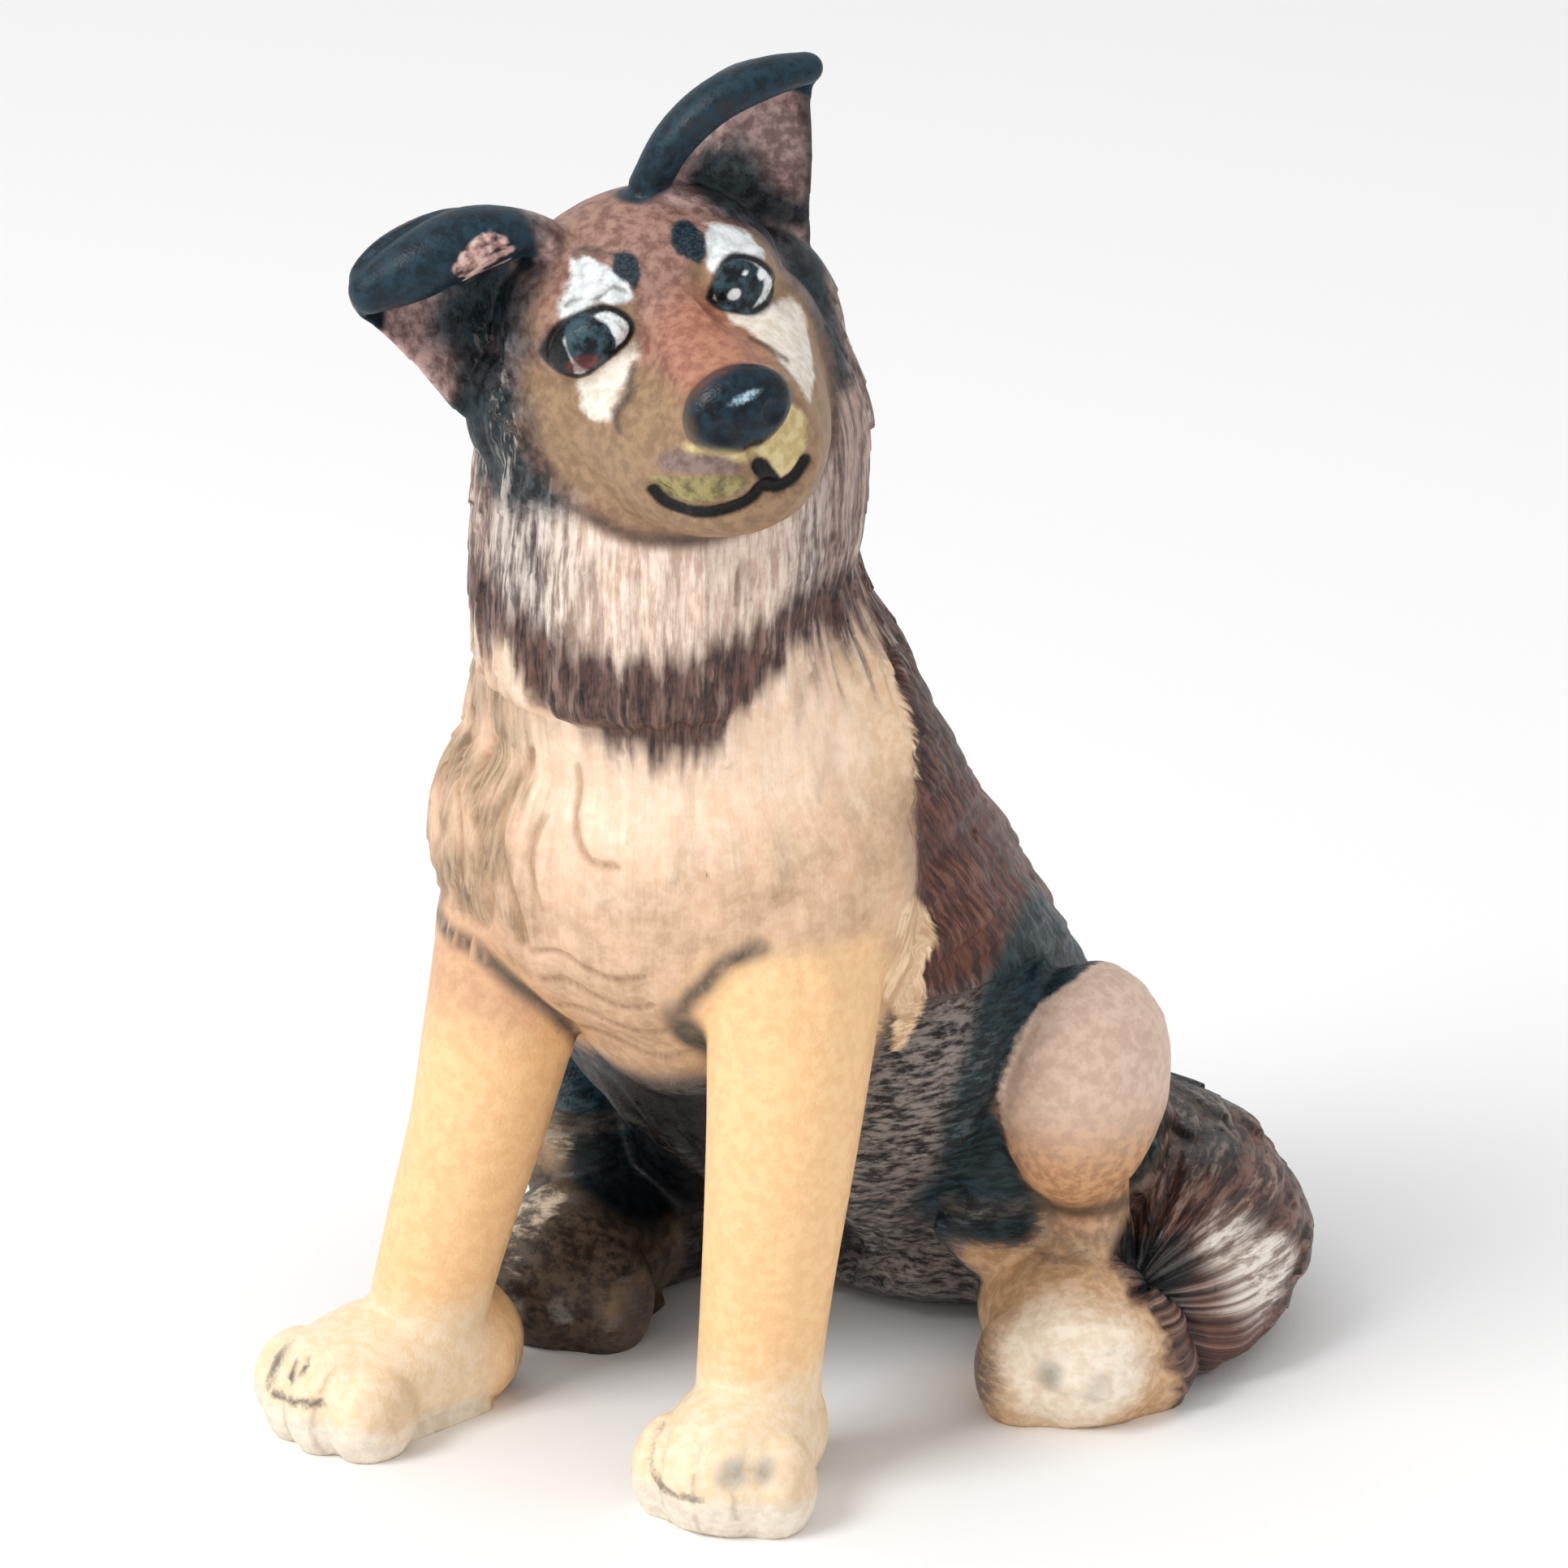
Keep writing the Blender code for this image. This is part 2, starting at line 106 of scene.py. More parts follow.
FUR_TOP = 210  # the height that its locks are counted down from
TAIL_CURL = (20, 90, 16)  # middle of the tail's curl
TAIL_REACH = 42  # from there to the tail's own middle line
TAIL_RADIUS = 16
RUFF_TURN = 25  # degrees to the left, where the ruff hangs lowest
LEG_LINES = (  # middles of the left and the right fore leg
    ((25, 24, 92), (27, 23, 82), (28.7, 18, 66), (28.6, 15, 50), (27.6, 13, 30), (26.6, 13, 8)),
    ((-24, 24, 92), (-26, 23, 82), (-27.6, 18, 66), (-30, 15, 50), (-34, 12, 30), (-38.5, 10, 8)),
)
CREASES = (  # where the chest's coat ends over the left and the right fore leg, with painted shade along them
    ((30, 8.5, 97), (24.1, 6.4, 93.6), (20.6, 6.9, 89.7), (15.5, 7.9, 83.3), (13.6, 12, 75), (12.6, 18, 68)),
    ((-36, 16, 88), (-30, 9, 87.5), (-24.3, 8, 86.5), (-18.3, 9.3, 81.7), (-13.5, 14.9, 75.2), (-15, 24, 67)),
)
CHEST_FOLD = ((-1.7, 123.9), (-1.6, 117), (-0.6, 112.6), (2.1, 109.2), (7, 108.8))  # (x, z)
FRINGE = (  # fur behind the left leg
    (42.5, 33, 97), (42.3, 38, 92), (40.1, 36.5, 85), (39.7, 40, 78), (38, 39, 71),
)
TOE_LINES = (  # where the top of a fore paw meets its sole
    (
        (-49, -9, 16), (-51.8, -12, 13.5), (-51, -14, 9.6), (-48.5, -17, 9.4), (-44.6, -18.7, 9.9),
        (-40, -18, 10.6),
    ),
    ((20, -4, 15), (20.8, -7, 12), (22, -9.8, 9.6), (24.5, -11.6, 8.2), (30, -12, 8.2)),
)
CLAWS = (  # middles and half-widths of the dark strokes on the toes
    ((-46.9, -14.8, 13.4), (0.8, 3, 1.9)), ((-44.6, -13.4, 14.6), (0.7, 3, 1.6)),
)
SMUDGES = (  # middles and half-widths of the grey dabs on the toes
    ((35, -8.6, 12.4), (2.4, 4, 2.6)), ((39.4, -6.2, 12.6), (1.4, 3, 1.8)),
    ((60.4, 54, 11.6), (2.6, 4, 2.8)), ((67.2, 57.6, 9.6), (1.8, 4, 2.2)),
    ((-43, 37.5, 9), (1.6, 3, 2)), ((-35, 36.5, 9), (1.6, 3, 2)), ((-27, 37.5, 9), (1.6, 3, 2)),
)
KNEE_SIZE = (18, 20, 27)  # half-widths of the round of a knee
KNEE_SHADES = (  # middles and half-widths of the painted shade under the knees
    ((40, 66, 28), (13, 13, 20)), ((-38, 56, 28), (10, 13, 20)),
)
CAVITY = ((-26, 66, 32), (16, 18, 17))  # deep shade between the haunches
FAR_SHIN = ((-36, 40, 14), (-38.5, 47, 22), (-40, 55, 32))
CREASE_END_SHADE = ((14, 15, 77), (3.4, 10, 11))  # painted shade in the fold inside the left fore leg
HIND_TIP = ((62, 57, 12), (13, 11, 11))
# painted highlight on the tail
TAIL_HIGHLIGHT = ((77, 94, 19), (9, 9, 9))
# painted shade where the tail meets the left hind paw
TAIL_SHADE = ((63, 84, 10), (11, 10, 17))
TAIL_RED = ((75, 88, 7), (9, 10, 9))
BACK_EDGE = ((50, 18), (66, 24), (76, 30), (85, 38), (94, 34), (104, 36), (132, 40.5), (150, 44))  # (z, y)
KNEE_EDGE = (  # where the knee's light paint starts, as (z, x)
    (33.5, 50.7), (39.4, 46.6), (51.4, 45.5), (57.8, 45.6), (63.6, 47), (68.1, 48), (72.1, 50.1),
    (75.6, 53.9),
)
PAWS = (  # ankle, turn in degrees, length, half-width, height and heel of the fore paws and the hind paws
    ((27.2, 12, 0), 6, 23, 13, 22, 3),
    ((-38, 11, 0), -20, 30, 13.8, 21, 8),
    ((*HIND_FEET[0], 0), 45, 26, 15.2, 25, 5),
    ((*HIND_FEET[1], 0), -2, 26, 15.2, 25, 5),
)
TOE_GAP = 0.51  # from toe to toe, as a share of a paw's half-width
FACE = (  # painted shapes of the face, as (x, z) in the head's frame
    (-26, -9), (-25.5, -15), (-24, -20), (-21.5, -24.5), (-17.5, -28), (-11, -30.5), (-4, -31.5), (4, -31.5),
    (11, -30), (17.5, -26), (21.5, -20), (23, -13), (22.6, -5), (20.5, 3), (18, 8), (13, 13), (6, 17),
    (-2, 18), (-9, 17), (-14, 14), (-18, 10.3), (-21, 6.2), (-23.7, -1.8),
)
FOREHEAD = (
    (-21.5, 0), (-19, 8), (-14, 14), (-6, 18), (3, 18.5), (11, 16), (18, 9), (16, 7.5), (9, 9), (5, 8),
    (4, 3), (6.5, -1.5), (3, -2.5), (-3, -2.5), (-7.5, -1.5), (-6, 4), (-5, 8), (-8, 10), (-15, 8.5),
    (-19, 3),
)
WHITE_RIGHT = (
    (-9.4, 14.7), (-7.4, 14), (-6, 12.1), (-4.8, 10.4), (-4.8, 8), (-7, 7.4), (-9.5, 8.4), (-12, 8.3),
    (-15.7, 7.6), (-15.3, 9.4), (-13.5, 10.8), (-11.5, 12.6),
)
WHITE_LEFT = (
    (10.8, 12.1), (13.9, 11.1), (16.2, 9.4), (17.9, 6.8), (17.2, 5), (15, 6.4), (12, 7.4), (9.2, 6.4),
    (8.2, 7.4), (9.1, 9.4),
)
CREAM_RIGHT = (
    (-6.8, 1.8), (-7.4, -0.2), (-9.6, -1.4), (-11, -3), (-13.4, -4.6), (-15.2, -6.4), (-17, -7.6),
    (-18.5, -6.8), (-17.6, -4.2), (-17, -1.6), (-14.2, -0.8), (-10, 1),
)
CREAM_LEFT = (
    (8.1, 0.6), (14.8, -2.2), (20.4, -4.5), (20.6, -9), (17, -12), (12.6, -13.5), (11.6, -9.5), (11, -5.4),
    (9.7, -2.9), (8.1, -1.2),
)
BROW_RIGHT = (
    (-4.8, 13.9), (-2.4, 13.6), (-1.4, 12.4), (-2, 10.8), (-3.1, 9.3), (-4.1, 8.6), (-4.8, 10.2),
    (-5.9, 11.7),
)
BROW_LEFT = (
    (7.6, 14.1), (9.3, 13.4), (10.2, 11.6), (9, 9.4), (7.3, 8.3), (5.6, 9.8), (4.5, 11.2), (5, 13.3),
)
BROW_ARC = ((-9.4, 14.6), (-7.6, 15.2), (-6.2, 14.6), (-5.2, 13.6))
FOLDS = (  # dark lines under the eyes
    ((-9.3, -1.9), (-11.6, -3.9), (-14.9, -6.6), (-15.8, -9)),
    ((8.8, -3.1), (11, -5.6), (12.4, -7.6)),
)
EYE_RIGHT = (
    (-19.9, 3.2), (-17.7, 5.9), (-14.5, 7.4), (-9.7, 7.6), (-7.1, 5.2), (-7.2, 2.8), (-10.5, 1.7),
    (-14.5, 0.3), (-16.8, -0.8), (-19.2, 0.8),
)
EYE_LEFT = (
    (6.6, 2.9), (9.3, 6.3), (12.4, 7.4), (15.3, 5.7), (17, 3.2), (17.7, 0.8), (17, -1.5), (13, -1.8),
    (9.5, 0), (7.6, 1.2),
)
IRISES = (((-13.9, 3.8), (3.7, 4.4)), ((11.5, 2.9), (4.3, 4.5)))  # middles and half-widths
RUST = ((-16, 1.2), (2.4, 1.5))  # the red in the right eye
NOSE = ((0.3, -37.6, -7.9), (9.3, 6.4, 6.7))
NOSE_LOBE = ((0.3, -12.2), (2.8, 2.6))
# painted highlight on the nose
NOSE_HIGHLIGHT = ((0.8, -5.4), (2.2, 0.6))
LIP_SPLIT = ((0.4, -18.2), (1, -20), (1.8, -22.2))  # dark line from the nose to the mouth
GLINTS = (  # the same for the painted highlights in the eyes
    ((10.2, 2.3), (1.1, 1.0)),
    ((15.6, 3.2), (0.8, 0.9)),
    ((-9.6, 4.6), (0.8, 1.3)),
    ((13.0, 4.8), (0.5, 0.4)),
)
EAR_STROKES = (  # pink strokes inside the ears, as (x, z) in the head's frame
    ((-28.2, 21), (-25, 23), (-21, 23.6)),
    ((-27.8, 19.4), (-24, 21.4), (-19.4, 21.8)),
    ((-26.8, 17.8), (-23, 19.6), (-18.8, 19.8)),
    ((-26, 16), (-22.8, 17.2), (-19.4, 17.4)),
    ((16.6, 19.4), (19, 21.2), (22.4, 22.6)),
    ((18, 18.8), (20.4, 20.4), (22.6, 21)),
    ((20.4, 18), (22, 19.2), (23, 19.2)),
)
WHITE_WAVES = (  # dark lines in the white over the right eye
    ((-14.6, 9.2), (-12, 10), (-10, 9.2), (-7.4, 10.2), (-5.6, 9)),
    ((-10.6, 12.4), (-8.6, 11.6), (-6.6, 12)),
)
DARK_SIDES = (  # painted shade in the crease beside the face, on its right and its left, in the head's frame
    (
        (-19.8, -1, 9), (-21.7, -3.5, 2), (-25.4, 4, -1), (-29.3, 0.6, -7.6), (-29.9, 0.7, -13),
        (-29.7, -2, -18.3),
    ),
    ((17, 5, 13), (22, 7, 8), (26.8, 7, 4), (27, 3.4, -0.5), (26.4, 2, -7), (26, 0, -15)),
)
PAD = (
    (-12.8, -12.3), (-10.8, -11.4), (-7.9, -12.3), (-4.9, -14), (-2.5, -16.5), (-3.7, -17.7), (-7.2, -16.4),
    (-11.2, -15.2), (-13.4, -14.2),
)
LIP = (
    (-14.4, -15.6), (-11, -15.9), (-7, -17), (-2.8, -18.4), (-3, -20.4), (-8, -20.8), (-12, -20.7),
    (-14.6, -18.8),
)
LIP_LIGHT = (
    (-9, -10.6), (-4.4, -12), (-2, -14.8), (2.4, -14.8), (6.4, -11.4), (9.4, -12), (10, -16), (7, -20),
    (2.6, -21), (1.6, -17), (-2, -16.4), (-5, -13.8), (-9, -12.2),
)
VIEW_AT = (-0.00279, -0.00912, 0.10739)  # metres; where the camera looks
VIEW_DISTANCE = 1.2157
VIEW_TURN = math.radians(30.6)  # to the dog's left
VIEW_RISE = math.radians(20)
LENS = 164.57
SOFTBOX_AT = (-0.5, -1.1, 1.3)
SOFTBOX_AIM = (0, 0, 0.1)
CHEST = ((250, 218, 184), (234, 198, 160))  # light and dark of the coat that the others go over
COATS = (  # zone, light, dark, blur of its edge, wander of its edge, how streaky it is, strength
    ("chest", (250, 226, 202), (236, 206, 178), 4, 3, 0.5, 1),
    ("chest_low", (212, 177, 144), (184, 149, 118), 10, 4, 0.3, 0.9),
    # painted shade down the right side of the chest, streaked like the coat
    ("chest_side_shade", (182, 154, 122), (118, 94, 72), 8, 7, 0.9, 0.95),
    ("chest_warm", (246, 208, 178), (238, 194, 160), 7, 12, 0.3, 0.7),
    ("leg", (250, 208, 156), (242, 196, 144), 4, 1, 0, 1),
    ("leg_top", (212, 164, 132), (196, 148, 118), 9, 3, 0, 0.9),
    ("shin", (196, 164, 132), (160, 130, 102), 1.5, 2, 0, 1),
    ("hind_paw", (226, 190, 152), (200, 160, 118), 2, 1, 0, 1),
    ("hind_tip", (250, 238, 218), (236, 218, 194), 4, 2, 0, 1),
    # the far hind paw, painted dark as the shade between the haunches
    ("far_paw_shade", (92, 78, 64), (50, 40, 32), 3, 2, 0, 1),
    ("tail", (128, 92, 78), (46, 34, 32), 1.5, 2, 0.9, 1),
    ("tail_red", (126, 84, 70), (74, 50, 44), 3, 2, 1, 0.9),
    # dark teal on the tail: painted shade by the left hind paw, and darker towards the rump
    ("tail_dark_and_shade", (44, 58, 62), (12, 24, 28), 2, 2, 1, 0.9),
    # a painted highlight on the tail
    ("tail_highlight", (250, 242, 232), (150, 128, 116), 3.5, 5, 1, 0.9),
    ("paw", (248, 226, 196), (240, 214, 176), 4, 1, 0, 1),
    ("sole", (244, 234, 216), (230, 216, 196), 1, 0.4, 0, 1),
    ("ruff", (218, 204, 194), (92, 80, 76), 1.5, 3, 0.8, 1),
    ("ruff_warm", (252, 230, 212), (204, 172, 152), 12, 6, 0.8, 0.9),
    ("ruff_behind", (180, 154, 142), (84, 64, 58), 8, 9, 0.8, 0.9),
    ("ruff_band", (112, 78, 68), (16, 18, 22), 3, 5, 0.7, 0.97),
    ("skull", (150, 112, 98), (100, 74, 68), 4, 4, 0, 1),
    ("face", (162, 132, 102), (138, 110, 84), 1.1, 0.2, 0, 1),
    ("chin", (162, 126, 100), (134, 100, 78), 3, 1, 0, 0.9),
    ("forehead", (164, 128, 114), (124, 88, 78), 1.8, 1, 0, 1),
    ("bridge", (184, 126, 100), (156, 100, 80), 3, 1, 0, 0.8),
    ("ear", (60, 54, 54), (26, 28, 34), 2, 1, 0, 1),
    ("ear_inside", (206, 172, 166), (140, 112, 108), 1, 1, 0, 1),
    # painted shade deep in the cups of the ears
    ("ear_hollow_shade", (60, 80, 88), (18, 36, 44), 2.5, 1.5, 0, 0.95),
    ("ear_edge", (40, 50, 56), (12, 20, 26), 1, 0.6, 0, 0.9),
    # painted shade in the crease round the face's edge and beside it
    ("face_edge_shade", (44, 58, 64), (14, 26, 32), 1.8, 1.6, 0, 0.95),
)
NOISES = {  # the place that each noise of the paint follows, its scale, detail and roughness
    "mottle": ("place", 0.45, 3, 0.6),
    "grain": ("place", 1.6, 1, 0.6),
    "streak": ("strand", 0.9, 3, 0.7),
}
MARKS = (  # zone, light, dark, blur of its edge, wander of its edge, strength, and the noise it follows
    ("back", (92, 54, 43), (36, 24, 24), 1.2, 4, 1, "streak"),
    ("back_warm", (112, 60, 42), (62, 36, 30), 9, 5, 0.8, "streak"),
    ("flank", (136, 126, 120), (20, 20, 22), 4, 5, 1, "streak"),
    ("fringe", (246, 214, 176), (200, 164, 128), 0.8, 1.6, 1, "streak"),
    # painted shade in the hollow under the chest, between the fore legs
    ("hollow_shade", (26, 26, 26), (4, 7, 10), 4, 2, 1, "mottle"),
    ("cavity", (14, 20, 24), (2, 4, 6), 3, 2, 1, "mottle"),
    ("far_shin", (214, 196, 172), (96, 84, 72), 1, 2, 0.9, "streak"),
    # dark teal painted shade round and under the knees
    ("knee_shade", (36, 60, 68), (6, 22, 28), 2.5, 2, 1, "streak"),
    ("knee", (228, 200, 180), (210, 180, 160), 0.8, 1, 1, "mottle"),
    ("knee_low", (216, 166, 122), (180, 132, 94), 2, 1.2, 0.95, "mottle"),
    ("knee_crease", (86, 78, 70), (40, 40, 40), 1.6, 1, 0.8, "streak"),
    ("chest_wave", (190, 154, 122), (140, 108, 84), 0.7, 0.9, 0.75, "streak"),
    # painted shade in the creases where the chest meets the fore legs
    ("crease_shade", (96, 86, 76), (46, 50, 50), 1.6, 1, 0.95, "mottle"),
    ("toe_gap", (176, 156, 134), (130, 116, 102), 0.5, 0.2, 0.45, "mottle"),
    ("toe_line", (96, 96, 92), (54, 58, 58), 0.5, 0.4, 0.85, "grain"),
    ("smudge", (160, 158, 152), (112, 116, 118), 1.2, 1.2, 0.7, "mottle"),
    ("claw", (84, 88, 88), (34, 42, 46), 0.4, 0.3, 0.9, "mottle"),
    # painted shadow along the face's lower edge, under the chin
    ("chin_shadow", (104, 76, 62), (58, 46, 42), 1.2, 0.5, 0.85, "mottle"),
    ("cream", (240, 232, 220), (218, 206, 190), 0.6, 0.6, 1, "mottle"),
    ("white", (228, 232, 232), (196, 202, 202), 0.5, 0.6, 1, "mottle"),
    ("brow", (36, 54, 66), (10, 22, 30), 0.4, 0.4, 1, "grain"),
    ("fold_line", (84, 70, 62), (48, 40, 38), 0.45, 0.2, 0.85, "grain"),
    ("pad", (144, 122, 118), (112, 92, 88), 0.9, 0.5, 0.9, "mottle"),
    ("lip_light", (226, 208, 156), (200, 178, 122), 0.8, 0.5, 0.9, "mottle"),
    ("lip", (160, 148, 98), (104, 96, 62), 0.6, 0.4, 0.95, "mottle"),
    ("ear_rim", (24, 52, 66), (8, 28, 38), 0.8, 0.6, 1, "mottle"),
    ("ear_pink", (238, 204, 194), (180, 128, 118), 0.4, 0.5, 0.9, "mottle"),
    ("lid", (30, 30, 32), (10, 14, 18), 0.35, 0.1, 1, "grain"),
    ("eye_white", (240, 244, 244), (206, 212, 214), 0.3, 0.1, 1, "grain"),
    ("iris", (54, 78, 88), (4, 14, 20), 0.3, 0.3, 1, "mottle"),
    ("rust", (136, 66, 54), (88, 36, 34), 0.5, 0.3, 0.75, "mottle"),
    ("glint", (250, 252, 254), (236, 242, 246), 0.25, 0.1, 1, "grain"),
    ("nose", (16, 42, 56), (4, 14, 22), 0.5, 0.3, 1, "mottle"),
    # painted highlight on the nose
    ("nose_highlight", (190, 214, 226), (120, 156, 172), 0.4, 0.2, 0.9, "grain"),
    ("mouth", (24, 20, 18), (6, 6, 8), 0.35, 0.15, 1, "grain"),
)
LEFT_EAR = (  # inner and outer edge, as (x, y, z) in the head's frame
    ((3, 7, 11), (7, 6, 18), (10.5, 4, 23.6), (17, 3, 28.6), (27, 2, 31), (37, 1, 29), (40.3, 1, 27)),
    ((21, 9, -9), (30, 8, -4), (32, 6, 3), (34, 4.5, 9), (35.6, 3.5, 15), (37.4, 2, 22), (39.4, 1, 24)),
)
LEFT_RIM = (  # x, y, z, half-height and half-depth of its rolled upper edge
    (7, 2, 18, 3.2, 3.6),
    (13, 0, 24, 3.4, 4.6),
    (21, -1, 27.6, 3.5, 4.8),
    (30, -1, 28, 3.3, 4.4),
    (37.5, 0, 26.5, 2.6, 3.2),
)
RIGHT_EAR = (
    (
        (-6, 7, 6), (-11, 6, 14), (-16.5, 5, 22.5), (-24, 4, 27), (-34, 3, 27.5), (-42, 2, 24.7),
        (-44.3, 1, 20),
    ),
    ((-18, 9, -15), (-26, 8, -12), (-32, 7, -7), (-35, 5, -1), (-37.8, 4, 6), (-41.3, 2, 13), (-43.8, 1, 17)),
)
RIGHT_RIM = (
    (-8, 1, 14, 2.6, 3.6),
    (-15, 0.5, 19.6, 3.8, 5.5),
    (-24, -1, 22.4, 5.4, 6.4),
    (-34, -1.5, 21.8, 5.2, 5.6),
    (-41.3, 0, 20.6, 3.6, 3.8),
)
EAR_ROOTS = (  # areas that hold the ears, as (x, z) in the head's frame
    ((8, 16), (20, 30), (44, 36), (44, 0), (30, -12), (22, -4), (16, 8)),
    ((-10, 14), (-18, 28), (-48, 32), (-48, 0), (-30, -16), (-21, -8), (-17, 5)),
)
# painted shade deep in the cups of the ears, as middles and half-widths
EAR_HOLLOW_SHADES = (((21, 13), (6, 6)), ((-25, 9), (8, 7)))


def through(rows, steps):
    """Points on a smooth curve through rows of numbers, with so many steps between two rows."""
    rows = np.array(rows, float)
    ends = np.vstack([2 * rows[0] - rows[1], rows, 2 * rows[-1] - rows[-2]])
    t = np.linspace(0, 1, steps, endpoint=False)[:, None]
    spans = [
        b + 0.5 * t * (c - a + t * (2 * a - 5 * b + 4 * c - d + t * (3 * (b - c) + d - a)))
        for a, b, c, d in zip(ends, ends[1:], ends[2:], ends[3:])
    ]
    return np.vstack([*spans, rows[-1:]])


def norm(vectors):
    return np.linalg.norm(vectors, axis=-1)


def unit(vectors):
    return vectors / norm(vectors)[:, None]


def add_object(name, data):
    obj = bpy.data.objects.new(name, data)
    bpy.context.scene.collection.objects.link(obj)
    return obj


def from_bmesh(name, bm):
    mesh = bpy.data.meshes.new(name)
    bm.to_mesh(mesh)
    bm.free()
    return add_object(name, mesh)


def tube(name, points, sides):
    """A closed form through rings of so many points each."""
    rings = len(points) // sides
    faces = [
        (r * sides + k, r * sides + (k + 1) % sides, (r + 1) * sides + (k + 1) % sides, (r + 1) * sides + k)
        for r in range(rings - 1)
        for k in range(sides)
    ]
    last = (rings - 1) * sides
    faces += [tuple(range(sides))[::-1], tuple(range(last, last + sides))]
    mesh = bpy.data.meshes.new(name)
    mesh.from_pydata([tuple(p) for p in points], [], faces)
    return add_object(name, mesh)


def limb(name, stations, across=(1, 0, 0), sides=32, steps=6, roundness=0.9, fullness=1.0):
    """A round-ended form through stations of (x, y, z, half-width along across, half-depth).

    A fullness above 1 squares the sections up.
    """
    rows = through(stations, steps)
    centres, wide, deep = rows[:, :3], rows[:, 3:4], rows[:, 4:5]
    along = unit(np.gradient(centres, axis=0))
    side = unit(np.array(across, float) - (along @ np.array(across, float))[:, None] * along)
    depth = np.cross(along, side)
    turn = np.linspace(0, 2 * math.pi, sides, endpoint=False)[:, None]
    over, up = (np.sign(part) * abs(part) ** (1 / fullness) for part in (np.cos(turn), np.sin(turn)))

    def ring(index, share, offset):
        flat = over * side[index] * wide[index] + up * depth[index] * deep[index]
        return centres[index] + along[index] * offset + share * flat

    def cap(index, sign):
        reach = sign * roundness * float(min(wide[index, 0], deep[index, 0]))
        return [ring(index, math.sin(a), reach * math.cos(a)) for a in np.linspace(0.43, 0.05, 4) * math.pi]

    rings = [*cap(0, -1)[::-1], *(ring(i, 1.0, 0.0) for i in range(len(rows))), *cap(-1, 1)]
    return tube(name, np.vstack(rings), sides)


def spin(axis, degrees):
    return Matrix.Rotation(math.radians(degrees), 4, axis)


def mass(name, centre, radii, turn=(0, 0, 0)):
    """An egg-shaped mass: an ellipsoid of these three radii, turned by degrees about X, Y and Z."""
    bm = bmesh.new()
    bmesh.ops.create_uvsphere(bm, u_segments=32, v_segments=20, radius=1)
    turned = spin("Z", turn[2]) @ spin("Y", turn[1]) @ spin("X", turn[0])
    bm.transform(Matrix.Translation(centre) @ turned @ Matrix.Diagonal((*radii, 1)))
    return from_bmesh(name, bm)


def head_frame():
    """Carries the head's own frame, with its nose towards -Y, to its place on the neck."""
    turned = spin("Z", HEAD_TURN) @ spin("Y", -HEAD_TILT) @ spin("X", -HEAD_LIFT)
    return Matrix.Translation(HEAD_AT) @ turned


def in_head(obj):
    obj.data.transform(head_frame())
    return obj


def settle(obj):
    """Replaces an object's mesh by what its modifiers make of it."""
    graph = bpy.context.evaluated_depsgraph_get()
    made = bpy.data.meshes.new_from_object(obj.evaluated_get(graph))
    obj.modifiers.clear()
    obj.data = made
    return obj


def fuse(name, pieces, rounds, grid=SKIN):
    """One skin over pieces that overlap, with its joins softened by rounds of smoothing."""
    bm = bmesh.new()
    for piece in pieces:
        bm.from_mesh(piece.data)
        bpy.data.objects.remove(piece)
    obj = from_bmesh(name, bm)
    skin = obj.modifiers.new("skin", "REMESH")
    skin.mode = "VOXEL"
    skin.voxel_size = grid
    soften = obj.modifiers.new("soften", "SMOOTH")
    soften.factor = 0.5
    soften.iterations = rounds
    return settle(obj)


def torso():
    """Neck to rump along a leaning back, with the chest and the brisket between the fore legs."""
    return [
        limb("spine", [
            (0, 29, 170, 29, 28),
            (0, 31, 146, 31, 29),
            (0, 38, 123, 40, 33),
            (0, 49, 98, 44, 36),
            (2, 63, 76, 45, 38),
            (5, 80, 56, 44, 36),
            (7, 94, 36, 43, 29),
        ]),
        mass("chest", (0, 31, 102), (44, 30, 34)),
        limb("brisket", [(0, 25, 86, 22, 15), (0, 33, 72, 18, 14), (0, 52, 62, 20, 14)]),
        mass("rump", (7, 104, 24), (44, 33, 27)),
    ]


def paw(ankle, turn, length, half_width, height, heel):
    """A paw that runs forward from the ankle, with four toes side by side at its end."""
    rise = height / 2
    pieces = [
        limb("instep", [
            (0, heel, rise * 0.9, half_width * 0.84, rise * 1.1),
            (0, -length * 0.3, rise * 0.88, half_width * 0.95, rise * 1.1),
            (0, -length * 0.66, rise * 0.76, half_width * 0.93, rise * 1.0),
        ]),
        limb("sole", [
            (0, heel - 2, 0, half_width * 0.74, rise * 0.4),
            (0, -length * 0.7, 0, half_width * 0.9, rise * 0.4),
        ]),
    ]
    for place in (-1.5, -0.5, 0.5, 1.5):
        reach = length * (1.0 - 0.055 * place**2)
        centre = (place * half_width * TOE_GAP, -reach + half_width * 0.55, rise * 0.62)
        pieces.append(mass("toe", centre, (half_width * 0.46, half_width * 0.6, rise * 0.84)))
    for piece in pieces:
        piece.data.transform(Matrix.Translation(ankle) @ spin("Z", turn))
    return pieces


